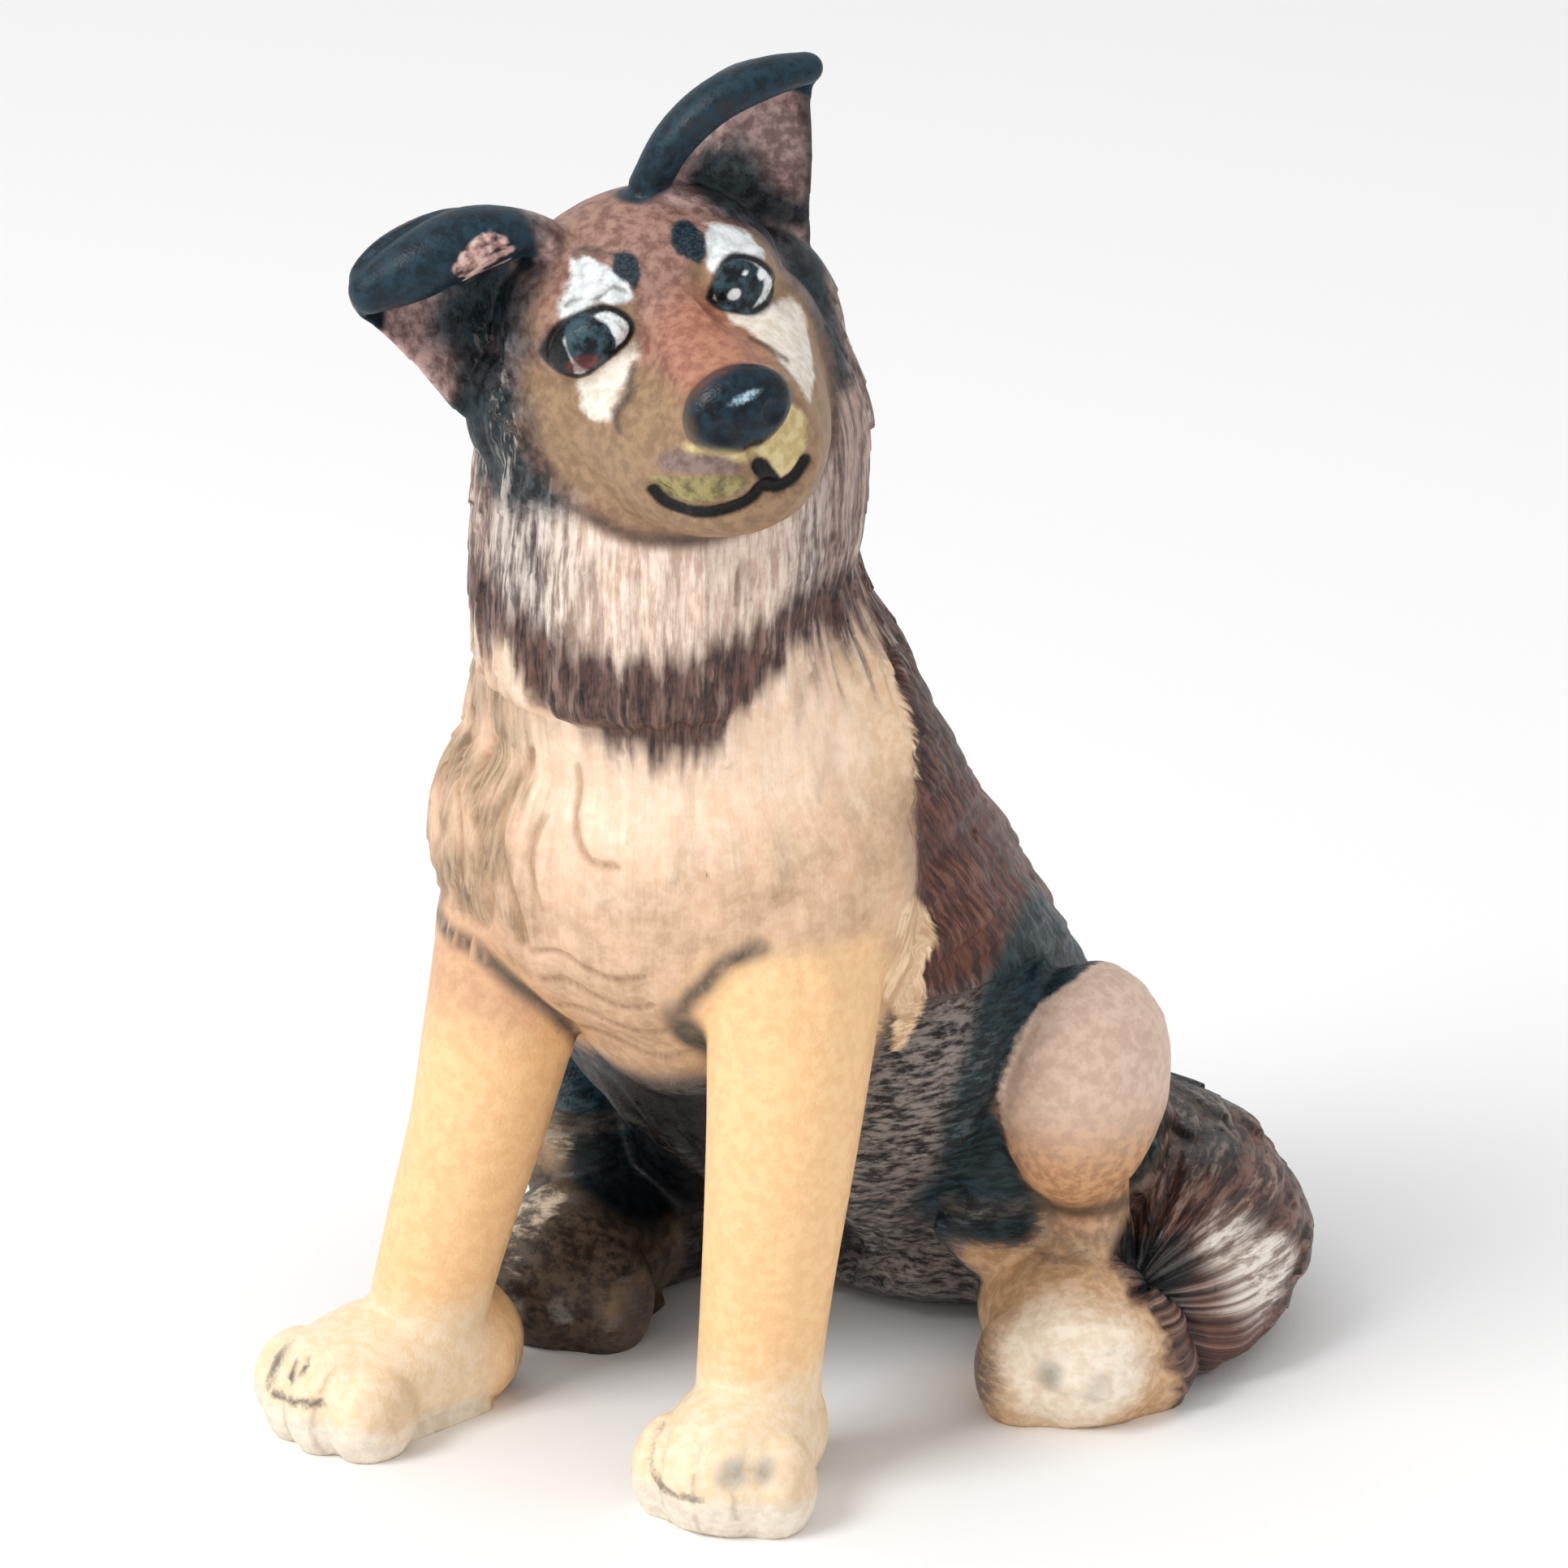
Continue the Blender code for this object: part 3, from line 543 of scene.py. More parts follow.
def fore_legs():
    left = limb("left_fore_leg", [
        (24, 28, 98, 15, 17),
        (27, 24, 84, 14, 16),
        (28.7, 19, 68, 13, 13.5),
        (28.7, 16, 52, 11.8, 12.4),
        (28, 14, 36, 10.8, 11.4),
        (27, 13, 20, 10.2, 11),
        (26.6, 13, 8, 10.6, 12),
    ])
    right = limb("right_fore_leg", [
        (-23, 28, 98, 15, 17),
        (-25, 24, 84, 14, 16),
        (-27, 19, 68, 12.6, 13.5),
        (-29.5, 16, 52, 11.4, 12),
        (-33, 13, 36, 10.6, 11),
        (-36.5, 11, 20, 10, 10.8),
        (-38.5, 10, 8, 10.6, 11.6),
    ])
    return [left, *paw(*PAWS[0]), right, *paw(*PAWS[1])]


def haunch(side, foot, knee_x, shin):
    """Folded thigh and knee over the foot; shin is the half-width below the knee."""
    x, y = foot
    return [
        mass("thigh", (6 + side * 33, 89, 36), (16, 26, 26), (-20, 0, side * -12)),
        mass("knee", (knee_x, 76, 55), (13, 16.5, 21), (-8, 0, side * -10)),
        limb("shin", [
            (knee_x - side, 77, 46, shin + 2, 10),
            ((knee_x + x) / 2 + side * 1.5, y + 3, 31, shin, 8),
            (x + side * 3, y + 1, 16, 9, 9),
        ]),
        limb("heel", [(6 + side * 30, 92, 10, 10, 12), (x, y + 2, 11, 12, 11)], across=(0, 0, 1)),
    ]


def tail():
    """Bushy tail that lies on the ground and curls round the left haunch."""
    return limb("tail", TAIL, across=(0, 0, 1))


def neck_ruff():
    """Collar of long fur round the neck, which overhangs the chest."""
    return limb("ruff", [
        (3, 30, 193, 25, 25),
        (2.5, 29, 180, 30.5, 29),
        (1.5, 28, 167, 31.5, 30),
        (0, 27, 151, 30, 30),
        (0, 27, 137, 28.5, 30),
    ], roundness=0.3)


def face():
    """Skull, deep blunt muzzle, cheeks and jaw, in the head's own frame."""
    pieces = [
        mass("skull", (0, 4, -0.5), (24, 20, 19)),
        mass("forehead", (0, -5, 2), (21.5, 12, 13)),
        limb("muzzle", [
            (0, -1, -12, 22, 20.5),
            (0, -10, -14.6, 21.4, 18.4),
            (0, -18, -16.4, 19.4, 16.4),
            (0, -26, -17, 16.5, 14.8),
            (0, -31, -17, 13.5, 13.5),
        ], roundness=0.55, fullness=1.12),
        limb("bridge", [(0, -12, 2, 5.5, 6), (0, -24, -3.5, 7.5, 6), (0, -33, -7, 7.5, 5)]),
        mass("nose", (0, -37.6, -8.2), (9, 5, 6.8)),
    ]
    for side, (eye_x, eye_z) in zip((1, -1), EYES):
        pieces.append(mass("eyeball", (eye_x, -13.4, eye_z), (7, 3.8, 5.2), (0, side * 16, side * 20)))
        pieces.append(mass("cheek", (side * 11.5, -3, -10.5), (14, 13, 14.5)))
        pieces.append(mass("side_fur", (side * 22, 7, -12), (9.5, 9, 14), (0, side * 8, 0)))
    return [in_head(piece) for piece in pieces]


def shell(name, inner_edge, outer_edge, rim, back, scoop, sides=28, steps=5):
    """A cupped ear between two edges of (x, y, z): its front is scooped out and its back is round."""
    points = []
    for a, b in zip(through(inner_edge, steps), through(outer_edge, steps)):
        half = (a - b) / 2
        share = min(1.0, float(norm(half)) / 9)
        for angle in np.linspace(0, 2 * math.pi, sides, endpoint=False):
            x, s = math.cos(angle), math.sin(angle)
            if s > 0:
                y = max(2.2, back * share) * s
            else:
                y = max(2.0, rim * share) * s + scoop * share**1.6 * s * s
            points.append((a + b) / 2 + half * x + np.array((0, y, 0)))
    return tube(name, points, sides)


def ears():
    """The left ear stands up; the right one bends outwards and its top edge is folded forward."""
    pieces = [
        shell("left_ear", *LEFT_EAR, rim=5, back=6, scoop=8),
        limb("left_fold", LEFT_RIM, across=(0, 0, 1)),
        shell("right_ear", *RIGHT_EAR, rim=5, back=6, scoop=8),
        limb("right_fold", RIGHT_RIM, across=(0, 0, 1)),
    ]
    return [in_head(piece) for piece in pieces]


def chance(*keys):
    """A repeatable number from 0 to 1 for each set of whole-number keys."""
    mixed = sum(key * step for key, step in zip(keys, (12.9898, 78.233, 37.719)))
    return np.modf(abs(np.sin(mixed) * 43758.5453))[0]


def locks(across, along, width, length, seed):
    """Height, 0 to 1, of overlapping locks of fur, each of which ends in a raised point."""
    column, height = np.floor(across / width), np.zeros(len(across))
    for shift in (-1, 0, 1):
        lane = column + shift
        sway = width * (chance(lane, 0, seed) - 0.5) * 0.7
        slide = length * chance(lane, 1, seed)
        row = np.floor((along - slide) / length)
        for step in (-1, 0):
            place = row + step
            jitter = chance(lane, place, seed + 2) - 0.5
            a = (across - (lane + 0.5) * width - sway - jitter * width * 0.4) / width
            b = (along - slide) / length - place + 0.3 * jitter
            b = np.clip(b / 1.45, 0, 1)
            half = 0.72 * np.sqrt(np.clip(1 - b**2.4, 0, 1)) + 1e-6
            ridge = np.clip(1 - (a / half) ** 2, 0, 1) ** 0.7
            height = np.maximum(height, ridge * (0.3 + 0.7 * b) * (b < 1))
    return height


def raised(across, along, fur):
    """How far the skin moves out to raise fur of this width, length, height and seed."""
    width, length, height, seed = fur
    return height * (locks(across, along, width, length, seed) - 0.3)


def ramp(values, low, high):
    """0 below low, 1 above high, smooth between them; low may be the larger."""
    t = np.clip((values - low) / (high - low), 0, 1)
    return t * t * (3 - 2 * t)


def nearest(points, line):
    """Distance of each point from a line of points, and how far along the line its nearest place is."""
    run = np.concatenate([[0], np.cumsum(norm(np.diff(line, axis=0)))])
    best, place = np.full(len(points), 1e9), np.zeros(len(points))
    for a, b, start, end in zip(line, line[1:], run, run[1:]):
        t = np.clip((points - a) @ (b - a) / (end - start) ** 2, 0, 1)
        gap = norm(points - a - t[:, None] * (b - a))
        place = np.where(gap < best, start + t * (end - start), place)
        best = np.minimum(gap, best)
    return best, place


def gap_from(points, line, steps=4):
    """Distance of each point from a smooth line; with one step its pieces are straight."""
    return nearest(points, through(line, steps))[0]


def groove(gap, width, depth):
    """How far a rounded groove cuts in at these distances from its middle line."""
    return depth * np.clip(1 - (gap / (width / 2)) ** 2, 0, 1)


def vertex_values(mesh, name):
    values = np.empty(len(mesh.vertices) * 3)
    mesh.vertices.foreach_get(name, values)
    return values.reshape(-1, 3)


def to_head(points):
    """Points of the working frame in the head's own frame."""
    back = np.linalg.inv(np.array(head_frame()))
    return points @ back[:3, :3].T + back[:3, 3]


def round_neck(points):
    """Angle of each point round the neck, 0 at the front, and how far down the fur it is."""
    x, y, z = points.T
    return np.arctan2(x, NECK_Y - y), FUR_TOP - z


def round_tail(points):
    """Distance of each point from the tail's middle line, how far along it is, and its angle round it."""
    gap, run = nearest(points, through(TAIL, 6)[:, :3])
    x, y, z = (points - TAIL_CURL).T
    return gap, run, np.arctan2(z, np.hypot(x, y) - TAIL_REACH)


def face_front(points, head):
    """1 on the front of the face, 0 elsewhere."""
    return ramp(head[:, 1], -12, -18) * ramp(points[:, 2], 150, 156)


def fur(points, head):
    """How far each lock of fur stands out, and the masks of ruff, tail, back and chest."""
    x, y, z = points.T
    in_face = np.hypot(head[:, 0] / 24, (head[:, 2] + 8) / 25) + np.clip(head[:, 1] + 2, 0, None) / 12
    off_face = ramp(in_face, 1.0, 1.2) * ramp(z, 204, 186) * ramp(head[:, 1], -12, -6)
    off_face = np.maximum(off_face, ramp(z, 166, 160))
    ruff = ramp(z, 129, 137) * off_face
    turn, down = round_neck(points)
    across = turn * NECK_RADIUS
    lift = ruff * raised(across, down, RUFF_FUR)
    lift += ruff * raised(across + 0.2 * down, down, RUFF_STRANDS)

    tail_gap, tail_run, tail_turn = round_tail(points)
    on_tail = ramp(tail_gap, 22, 18.5) * ramp(tail_run, 12, 26)
    lift += on_tail * raised(tail_turn * TAIL_RADIUS, tail_run, TAIL_FUR)
    lift += on_tail * raised(tail_turn * TAIL_RADIUS, tail_run, TAIL_STRANDS)

    bare = np.zeros(len(points))
    for knee_x, foot in zip(KNEES, HIND_FEET):
        paw_gap = norm((points - (*foot, 8)) / (24, 26, 26))
        bare = np.maximum(bare, ramp(paw_gap, 1.15, 0.95))
        knee = norm((points - (knee_x, 74, 50)) / KNEE_SIZE)
        bare = np.maximum(bare, ramp(knee, 1.15, 0.9) * 0.8)
    body = ramp(z, 134, 129) * ramp(z, 3, 9) * (1 - bare) * (1 - on_tail)
    behind = ramp(y, 30, 44)
    down_back = y * 0.6 + (130 - z) * 0.8
    round_back = np.arctan2(x - 4, z - 20 + 0.6 * (y - 50)) * 46
    lift += body * behind * raised(round_back, down_back, BACK_FUR)
    lift += body * behind * raised(round_back + 0.2 * down_back, down_back, BACK_STRANDS)
    chest = body * (1 - behind) * ramp(z, 76, 94)
    lift += chest * raised(across, down, CHEST_FUR)
    side = 0.6 + 1.8 * ramp(x, -4, -20)
    lift += chest * side * raised(across + 3 * np.sin(down / 7), down, CHEST_STRANDS)
    return lift, ruff, on_tail, body * behind, chest


def chest_waves(points):
    """How far each point of the chest is from the wavy lines that the knife left there."""
    x, y, z = points.T
    down, across = (x + 2.4 * np.sin(z / 5 + x / 8)) / 7, (z + 1.6 * np.sin(x / 3.4)) / 6
    down_gap = abs(down - np.round(down)) * 7 + 9 * ramp(x, -9, 2) + 9 * ramp(z, 92, 86)
    across_gap = abs(across - np.round(across)) * 6 + 9 * ramp(abs(x), 10, 17) + 9 * ramp(z, 91, 99)
    fold_gap = gap_from(points[:, [0, 2]], CHEST_FOLD)
    return overlap(down_gap, across_gap, fold_gap) + 9 * ramp(y, 18, 30) + 9 * ramp(z, 124, 130)


def cuts(points, head):
    """How deep the face's lines are cut."""
    flat = head[:, [0, 2]]
    cut = groove(gap_from(flat, MOUTH), *MOUTH_CUT)
    cut = np.maximum(cut, groove(gap_from(flat, LIP_LINE, 1), *LIP_CUT))
    for side, (eye_x, eye_z) in zip((1, -1), EYES):
        around = np.hypot((head[:, 0] - eye_x) / 7.2, (head[:, 2] - eye_z) / 5.4)
        cut = np.maximum(cut, groove(abs(around - 1) * 6.3, *LID_CUT))
        nostril = norm(head - (side * 4.2, -41.5, -9.6))
        cut = np.maximum(cut, groove(nostril, *NOSTRIL_CUT))
    return cut * face_front(points, head)


def carve(obj):
    """Cuts the face's lines and raises the fur."""
    mesh = obj.data
    points, normals = vertex_values(mesh, "co"), vertex_values(mesh, "normal")
    head = to_head(points)
    lift = fur(points, head)[0] - cuts(points, head)
    lift -= groove(chest_waves(points), *WAVE_CUT) * ramp(points[:, 2], 70, 78)
    mesh.vertices.foreach_set("co", (points + normals * lift[:, None]).ravel())
    mesh.update()
    group = obj.vertex_groups.new(name="thin")
    levels = 10  # of how much a vertex may be thinned out, the face's the least
    level_of = np.ceil(levels - (levels - 1) * face_front(points, head))
    for level in range(1, levels + 1):
        group.add(np.flatnonzero(level_of == level).tolist(), level / levels, "REPLACE")
    return obj


def thin_out(obj):
    """Brings the faces down in number, the face's the least, and cuts the underside flat."""
    thin = obj.modifiers.new("thin", "DECIMATE")
    thin.ratio = TRIANGLES / len(obj.data.polygons) / 2
    thin.vertex_group = "thin"
    thin.vertex_group_factor = FACE_DETAIL
    settle(obj).vertex_groups.clear()
    bm = bmesh.new()
    bm.from_mesh(obj.data)
    ground = {"dist": 0.1, "plane_co": (0, 0, 0), "plane_no": (0, 0, -1), "clear_outer": True}
    bmesh.ops.bisect_plane(bm, geom=[*bm.verts, *bm.edges, *bm.faces], **ground)
    bmesh.ops.holes_fill(bm, edges=[edge for edge in bm.edges if edge.is_boundary], sides=0)
    bmesh.ops.triangulate(bm, faces=bm.faces)
    for vert in bm.verts:
        if vert.co.z < ground["dist"]:
            vert.co.z = 0
    bm.to_mesh(obj.data)
    bm.free()
    return obj


def into_box(obj, low, high):
    """Sets the skin into the CAD solid's box."""
    corners = [Vector(corner) for corner in obj.bound_box]
    own = corners[6] - corners[0]
    size = Matrix.Diagonal([(b - a) / length for a, b, length in zip(low, high, own)]).to_4x4()
    obj.data.transform(Matrix.Translation(low) @ size @ Matrix.Translation(-corners[0]))
    obj.data.shade_smooth()
    return obj


def overlap(*areas):
    """Signed distance from what several areas share."""
    return functools.reduce(np.minimum, areas)


def union(*areas):
    """Signed distance from several areas together."""
    return functools.reduce(np.maximum, areas)


def inside(points, *outlines, steps=4):
    """Signed distance of flat points from smooth closed outlines, positive inside one."""
    x, y = points.T
    areas = []
    for outline in outlines:
        ring = through([*outline, outline[0]], steps)
        gap = gap_from(points, ring, 1)
        odd = np.zeros(len(points), bool)
        for (ax, ay), (bx, by) in zip(ring, ring[1:]):
            if ay != by:
                odd ^= ((ay > y) != (by > y)) & (x < (bx - ax) * (y - ay) / (by - ay) + ax)
        areas.append(np.where(odd, gap, -gap))
    return union(*areas)


def blob(points, *shapes):
    """Rough signed distance from ellipses or ellipsoids of (middle, half-widths), positive inside one."""
    return union(*(
        (1 - norm((points - np.array(middle, float)) / np.array(half, float))) * min(half)
        for middle, half in shapes
    ))


def stripes(points, half_width, *lines, steps=4):
    """Signed distance from painted lines, positive on them."""
    return half_width - np.min([gap_from(points, line, steps) for line in lines], axis=0)


def in_paw(points, ankle, turn):
    """Points in the frame of a paw, which runs towards -Y from its ankle."""
    turn = math.radians(turn)
    x, y = points[:, 0] - ankle[0], points[:, 1] - ankle[1]
    return np.stack([
        x * math.cos(turn) + y * math.sin(turn),
        y * math.cos(turn) - x * math.sin(turn),
        points[:, 2],
    ], axis=1)


def face_zones(head):
    """Painted shapes of the face, laid out on its front."""
    flat, x, y = head[:, [0, 2]], head[:, 0], head[:, 1]
    eye = inside(flat, EYE_RIGHT, EYE_LEFT)
    brow_lines = union(stripes(flat, 0.28, *WHITE_WAVES), stripes(flat, 0.5, BROW_ARC))
    upper = {
        "white": inside(flat, WHITE_RIGHT, WHITE_LEFT),
        "cream": inside(flat, CREAM_RIGHT, CREAM_LEFT),
        "brow": inside(flat, BROW_RIGHT, BROW_LEFT),
        "fold_line": union(stripes(flat, 0.35, *FOLDS), brow_lines),
        "lid": eye + 0.7,
        "eye_white": overlap(eye - 0.4, x + 17.6),
        "iris": overlap(blob(flat, *IRISES), eye + 0.4),
        "glint": blob(flat, *GLINTS),
        "rust": overlap(blob(flat, RUST), eye - 0.2),
    }
    lower = {
        "pad": inside(flat, PAD),
        "lip": inside(flat, LIP),
        "lip_light": inside(flat, LIP_LIGHT),
        "mouth": union(stripes(flat, 1.0, MOUTH), stripes(flat, 1.4, LIP_SPLIT)),
    }
    return {
        "face": overlap(inside(flat, FACE), 1.5 - y),
        "forehead": inside(flat, FOREHEAD),
        "nose": union(blob(head, NOSE), overlap(blob(flat, NOSE_LOBE), -33 - y)),
        "nose_highlight": overlap(blob(flat, NOSE_HIGHLIGHT), -36 - y),
        **{name: overlap(area, -8 - y + 4) for name, area in upper.items()},
        **{name: overlap(area, -8 - y) for name, area in lower.items()},
    }


def ear_zones(head, front):
    """Painted parts of the ears: black rims and backs, what shows inside the cups with painted shade in their
    hollows, and painted shade beside the face.
    """
    x, y, z = head.T
    flat = head[:, [0, 2]]
    left, right = (
        inside(flat, [(place[0], place[2]) for place in (*one_edge, *other_edge[::-1])], steps=2)
        for one_edge, other_edge in (LEFT_EAR, RIGHT_EAR)
    )
    rim_left = 5.4 - nearest(head, through(LEFT_RIM, 4)[:, :3])[0]
    rim_right = 7.6 - nearest(head, through(RIGHT_RIM, 4)[:, :3])[0]
    off_face = overlap(inside(flat, *EAR_ROOTS, steps=2), y + 6)
    inner = overlap(overlap(union(left, right), off_face) + 1, front * 4, z + 3)
    return {
        "ear": overlap(union(left, right) + 2.5, off_face),
        "ear_rim": union(overlap(rim_left, z - 17), overlap(rim_right, -14.5 - x, z - 13)),
        "ear_inside": inner,
        # painted shade in the ears' hollows
        "ear_hollow_shade": overlap(blob(flat, *EAR_HOLLOW_SHADES), inner + 1),
        "ear_edge": overlap(1.6 - abs(left), x - 26, 24 - z),
        "ear_pink": overlap(stripes(flat, 0.65, *EAR_STROKES), 1 + 4 * front),
        # painted shade beside the face
        "dark_side": stripes(head, 3.6, *DARK_SIDES),
    }


def paw_zones(points, ankle, turn, length, half_width, height):
    """A paw, its sole and the gaps between its toes."""
    x, y, z = in_paw(points, ankle, turn).T
    whole = overlap(half_width + 3 - abs(x), height + 1 - z, 6 - y, y + length + 8)
    sole = overlap(whole, 7.5 + 0.12 * (-y - length) - z)
    tip = overlap(-0.66 * length - y, 0.75 * height - z, whole)
    gaps = [overlap(0.4 - abs(x - place * half_width * TOE_GAP), tip) for place in (-1, 0, 1)]
    return whole, sole, union(*gaps)


def body_zones(points):
    """Painted areas of the coat, from the ruff down to the paws, with painted shade in its hollows and
    creases, under the knees, on the far hind paw, the chest's right side and the tail, and a painted
    highlight on the tail.
    """
    x, y, z = points.T
    turn = np.degrees(round_neck(points)[0])
    on_ruff = z - (130 + 18 * ramp(abs(turn - RUFF_TURN), 13, 57))
    reach = 9.5 - 4.5 * ramp(abs(turn - RUFF_TURN), 15, 50)
    back = overlap(y - np.interp(z, *np.transpose(BACK_EDGE)), (150 - z + 0.4 * y) * 0.4)
    chest = overlap(z - 88, 30 - y)
    knee = np.min([norm((points - (knee_x, 75, 54)) / KNEE_SIZE) for knee_x in KNEES], axis=0)
    light_knee = overlap((0.92 - knee) * 18, abs(x) - np.interp(z, *np.transpose(KNEE_EDGE)))
    shins = [
        ((knee_x - side, 77, 40), ((knee_x + foot[0]) / 2 + side * 1.5, foot[1] + 3, 31), (*foot, 8))
        for side, foot, knee_x in zip((1, -1), HIND_FEET, KNEES)
    ]
    shin = overlap(stripes(points, 10, *shins, steps=1), 35 - z)
    leg = overlap(stripes(points, 18, *LEG_LINES, steps=1), 92 + 0.12 * x - z)
    tail_gap, tail_run, _ = round_tail(points)
    on_tail = overlap(20.5 - tail_gap, tail_run - 14)
    paws, soles, gaps = zip(*(paw_zones(points, *sizes[:-1]) for sizes in PAWS))
    bare = -union(*paws, shin, on_tail, leg)
    flatter = np.array((0.4, 0.4, 1))  # a line's height counts more than its depth
    toe_gaps = [nearest(points * flatter, through(line, 4) * flatter)[0] for line in TOE_LINES]
    return {
        "ruff": on_ruff,
        "ruff_band": overlap(reach - abs(on_ruff - reach + 2.5), 95 - abs(turn - 20)),
        "ruff_warm": overlap(34 - abs(turn - 36), on_ruff),
        "ruff_behind": overlap(abs(turn - 24) - 57, on_ruff + 8),
        "back": overlap(back, bare),
        "back_warm": overlap(back, 16 - abs(z - 98)),
        "flank": overlap(78 - z, 72 - y + 3 * np.clip(30 - z, 0, None), back + 3, bare),
        # painted shade under the chest, between the fore legs
        "hollow_shade": overlap(66 - z, y - 26, 74 - y, 24 - abs(x + 12), bare),
        "chest": chest,
        "chest_low": 104 - z + 0.4 * abs(x),
        # painted shade on the chest's right side
        "chest_side_shade": overlap(-13 - x, z - 84),
        "chest_warm": overlap(chest * 0.5, -2),
        "chest_wave": 0.7 - chest_waves(points),
        "fringe": stripes(points, 3.6 - 2.6 * ramp(z, 84, 68), FRINGE),
        # painted shade round and under the knees
        "knee_shade": overlap(union((1.4 - knee) * 20, blob(points, *KNEE_SHADES)), z - 12, bare),
        "knee": light_knee,
        "knee_low": overlap((50 - z) * 0.25, light_knee),
        "knee_crease": overlap(1.6 - abs(z - 33), 17 - abs(abs(x) - 50), y - 58),
        "shin": shin,
        "leg": leg,
        "leg_top": overlap(leg, z - 74, -x),
        # painted shade in the creases of the fore legs
        "crease_shade": union(stripes(points, 1.5, *CREASES), blob(points, CREASE_END_SHADE)),
        "tail": on_tail,
        # painted highlight on the tail
        "tail_highlight": overlap(blob(points, TAIL_HIGHLIGHT), on_tail),
        # painted shade by the hind paw, and darker towards the rump
        "tail_dark_and_shade": overlap(union(y - 130, blob(points, TAIL_SHADE)), on_tail),
        "tail_red": overlap(blob(points, TAIL_RED), on_tail),
        "paw": union(*paws[:2]),
        "hind_paw": union(*paws[2:]),
        # painted shade on the far hind paw
        "far_paw_shade": paws[3],
        "sole": union(*soles[:2]),
        "toe_gap": union(*gaps[:2]),
        "hind_tip": blob(points, HIND_TIP),
        "toe_line": 0.7 - np.min(toe_gaps, axis=0),
        "claw": blob(points, *CLAWS),
        "smudge": blob(points, *SMUDGES),
        "cavity": overlap(blob(points, CAVITY), z - 14),
        "far_shin": stripes(points, 4, FAR_SHIN, steps=1),
    }


def wrapped(radius, turn, along):
    """Places on a round form, laid out so that strokes run along it."""
    return np.stack([radius * np.cos(turn), radius * np.sin(turn), along], axis=1)


def strands(points, head):
    """Places along and across the lie of the fur, for strokes that follow it."""
    x, y, z = points.T
    turn, down = round_neck(points)
    way = wrapped(NECK_RADIUS, turn, down * 0.13)
    out, down_back = 0.9 * (y - 60) + 0.44 * (z - 80), 0.44 * y - 0.9 * z
    tail_gap, tail_run, tail_turn = round_tail(points)
    others = (
        ((y > 38) & (z < 138), wrapped(62, np.arctan2(x - 3, out + 30), down_back * 0.13)),
        ((z < 78) & (y > 24) & (y < 72 + 3 * np.clip(30 - z, 0, None)), points * (0.3, 0.3, 0.9)),
        ((tail_gap < 20) & (tail_run > 16), wrapped(14, tail_turn, tail_run * 0.22)),
        ((norm(head - (0, 0, 2)) < 30) | (z > 196), head * (0.9, 0.5, 0.35)),
    )
    for here, other in others:
        way = np.where(here[:, None], other, way)
    return way


def wander(points, scale, seed):
    """Smooth noise from -1 to 1."""
    shift = Vector((seed * 17.3, seed * 5.1, 0))
    return np.array([noise.noise(Vector(p) * scale + shift) for p in points.tolist()])


def coats(zones, waves):
    """Light and dark paint of every vertex, each coat over the last, and how streaky it is."""
    count = len(waves[0])
    light, dark = (np.tile(linear(colour), (count, 1)) for colour in CHEST)
    streaky = np.zeros(count)
    for zone, bright, deep, blur, reach, kind, strength in COATS:
        amount = ramp(zones[zone] + reach * waves[round(kind)], -blur, blur) * strength
        light += amount[:, None] * (linear(bright) - light)
        dark += amount[:, None] * (linear(deep) - dark)
        streaky += amount * (kind - streaky)
    return light, dark, streaky


def mark_zones(obj, points):
    """Stores on every vertex its coats, how deep it lies in each mark, and the lie of its fur."""
    mesh = obj.data
    head = to_head(points)
    x, y, z = head.T
    normals = vertex_values(mesh, "normal") @ np.array(head_frame())[:3, :3]
    lift, ruff, on_tail, behind, chest = fur(points, head)
    zones = {**face_zones(head), **ear_zones(head, -normals[:, 1]), **body_zones(points)}
    edge = inside(head[:, [0, 2]], FACE)
    # painted shade in the crease round the face's edge, wider on its right
    width = 2.6 + 1.8 * ramp(x, 0, -12)
    face_edge_shade = overlap(width - abs(edge + width), z + 22, y + 14, union(12 - z, abs(x) - 14))
    zones["face_edge_shade"] = overlap(union(face_edge_shade, zones["dark_side"]), 12 - y, -edge - 0.4)
    # painted shadow under the chin
    zones["chin_shadow"] = overlap(1.3 - abs(edge + 0.4), -z - 8, 8 - y)
    zones["bridge"] = overlap(8 - np.hypot(x - 2, z + 2), zones["face"])
    zones["skull"] = overlap(25 - norm(head - (0, 4, 0)), z + 2)
    zones["chin"] = overlap(zones["face"], 2.5 - edge, -z - 22)
    for name in ("ear", "ear_inside", "ear_hollow_shade"):
        zones[name] = overlap(zones[name], -edge)
    way = strands(points, head)
    band = ramp(zones["ruff_band"], -3, 2)
    light, dark, streaky = coats(zones, (wander(points, 0.16, 1), wander(way, 0.55, 2)))
    numbers = {
        "relief": lift / 3,
        "furry": union(ruff * (1 - 0.7 * band), on_tail * 0.3, behind * 0.12, chest * 0.35),
        "streaky": streaky,
        **{name: zones[name] for name, *_ in MARKS},
    }
    for kind, field, layers in (
        ("FLOAT", "value", numbers),
        ("FLOAT_VECTOR", "vector", {"place": points, "strand": way}),
        ("FLOAT_COLOR", "color", {"coat_light": light, "coat_dark": dark}),
    ):
        for name, values in layers.items():
            layer = mesh.attributes.new(name, kind, "POINT")
            layer.data.foreach_set(field, values.astype(np.float32).ravel())


def linear(colour):
    """A colour of the screen, 0 to 255, as Blender's linear one."""
    shares = [channel / 255 for channel in colour]
    return (*(c / 12.92 if c <= 0.04045 else ((c + 0.055) / 1.055) ** 2.4 for c in shares), 1.0)


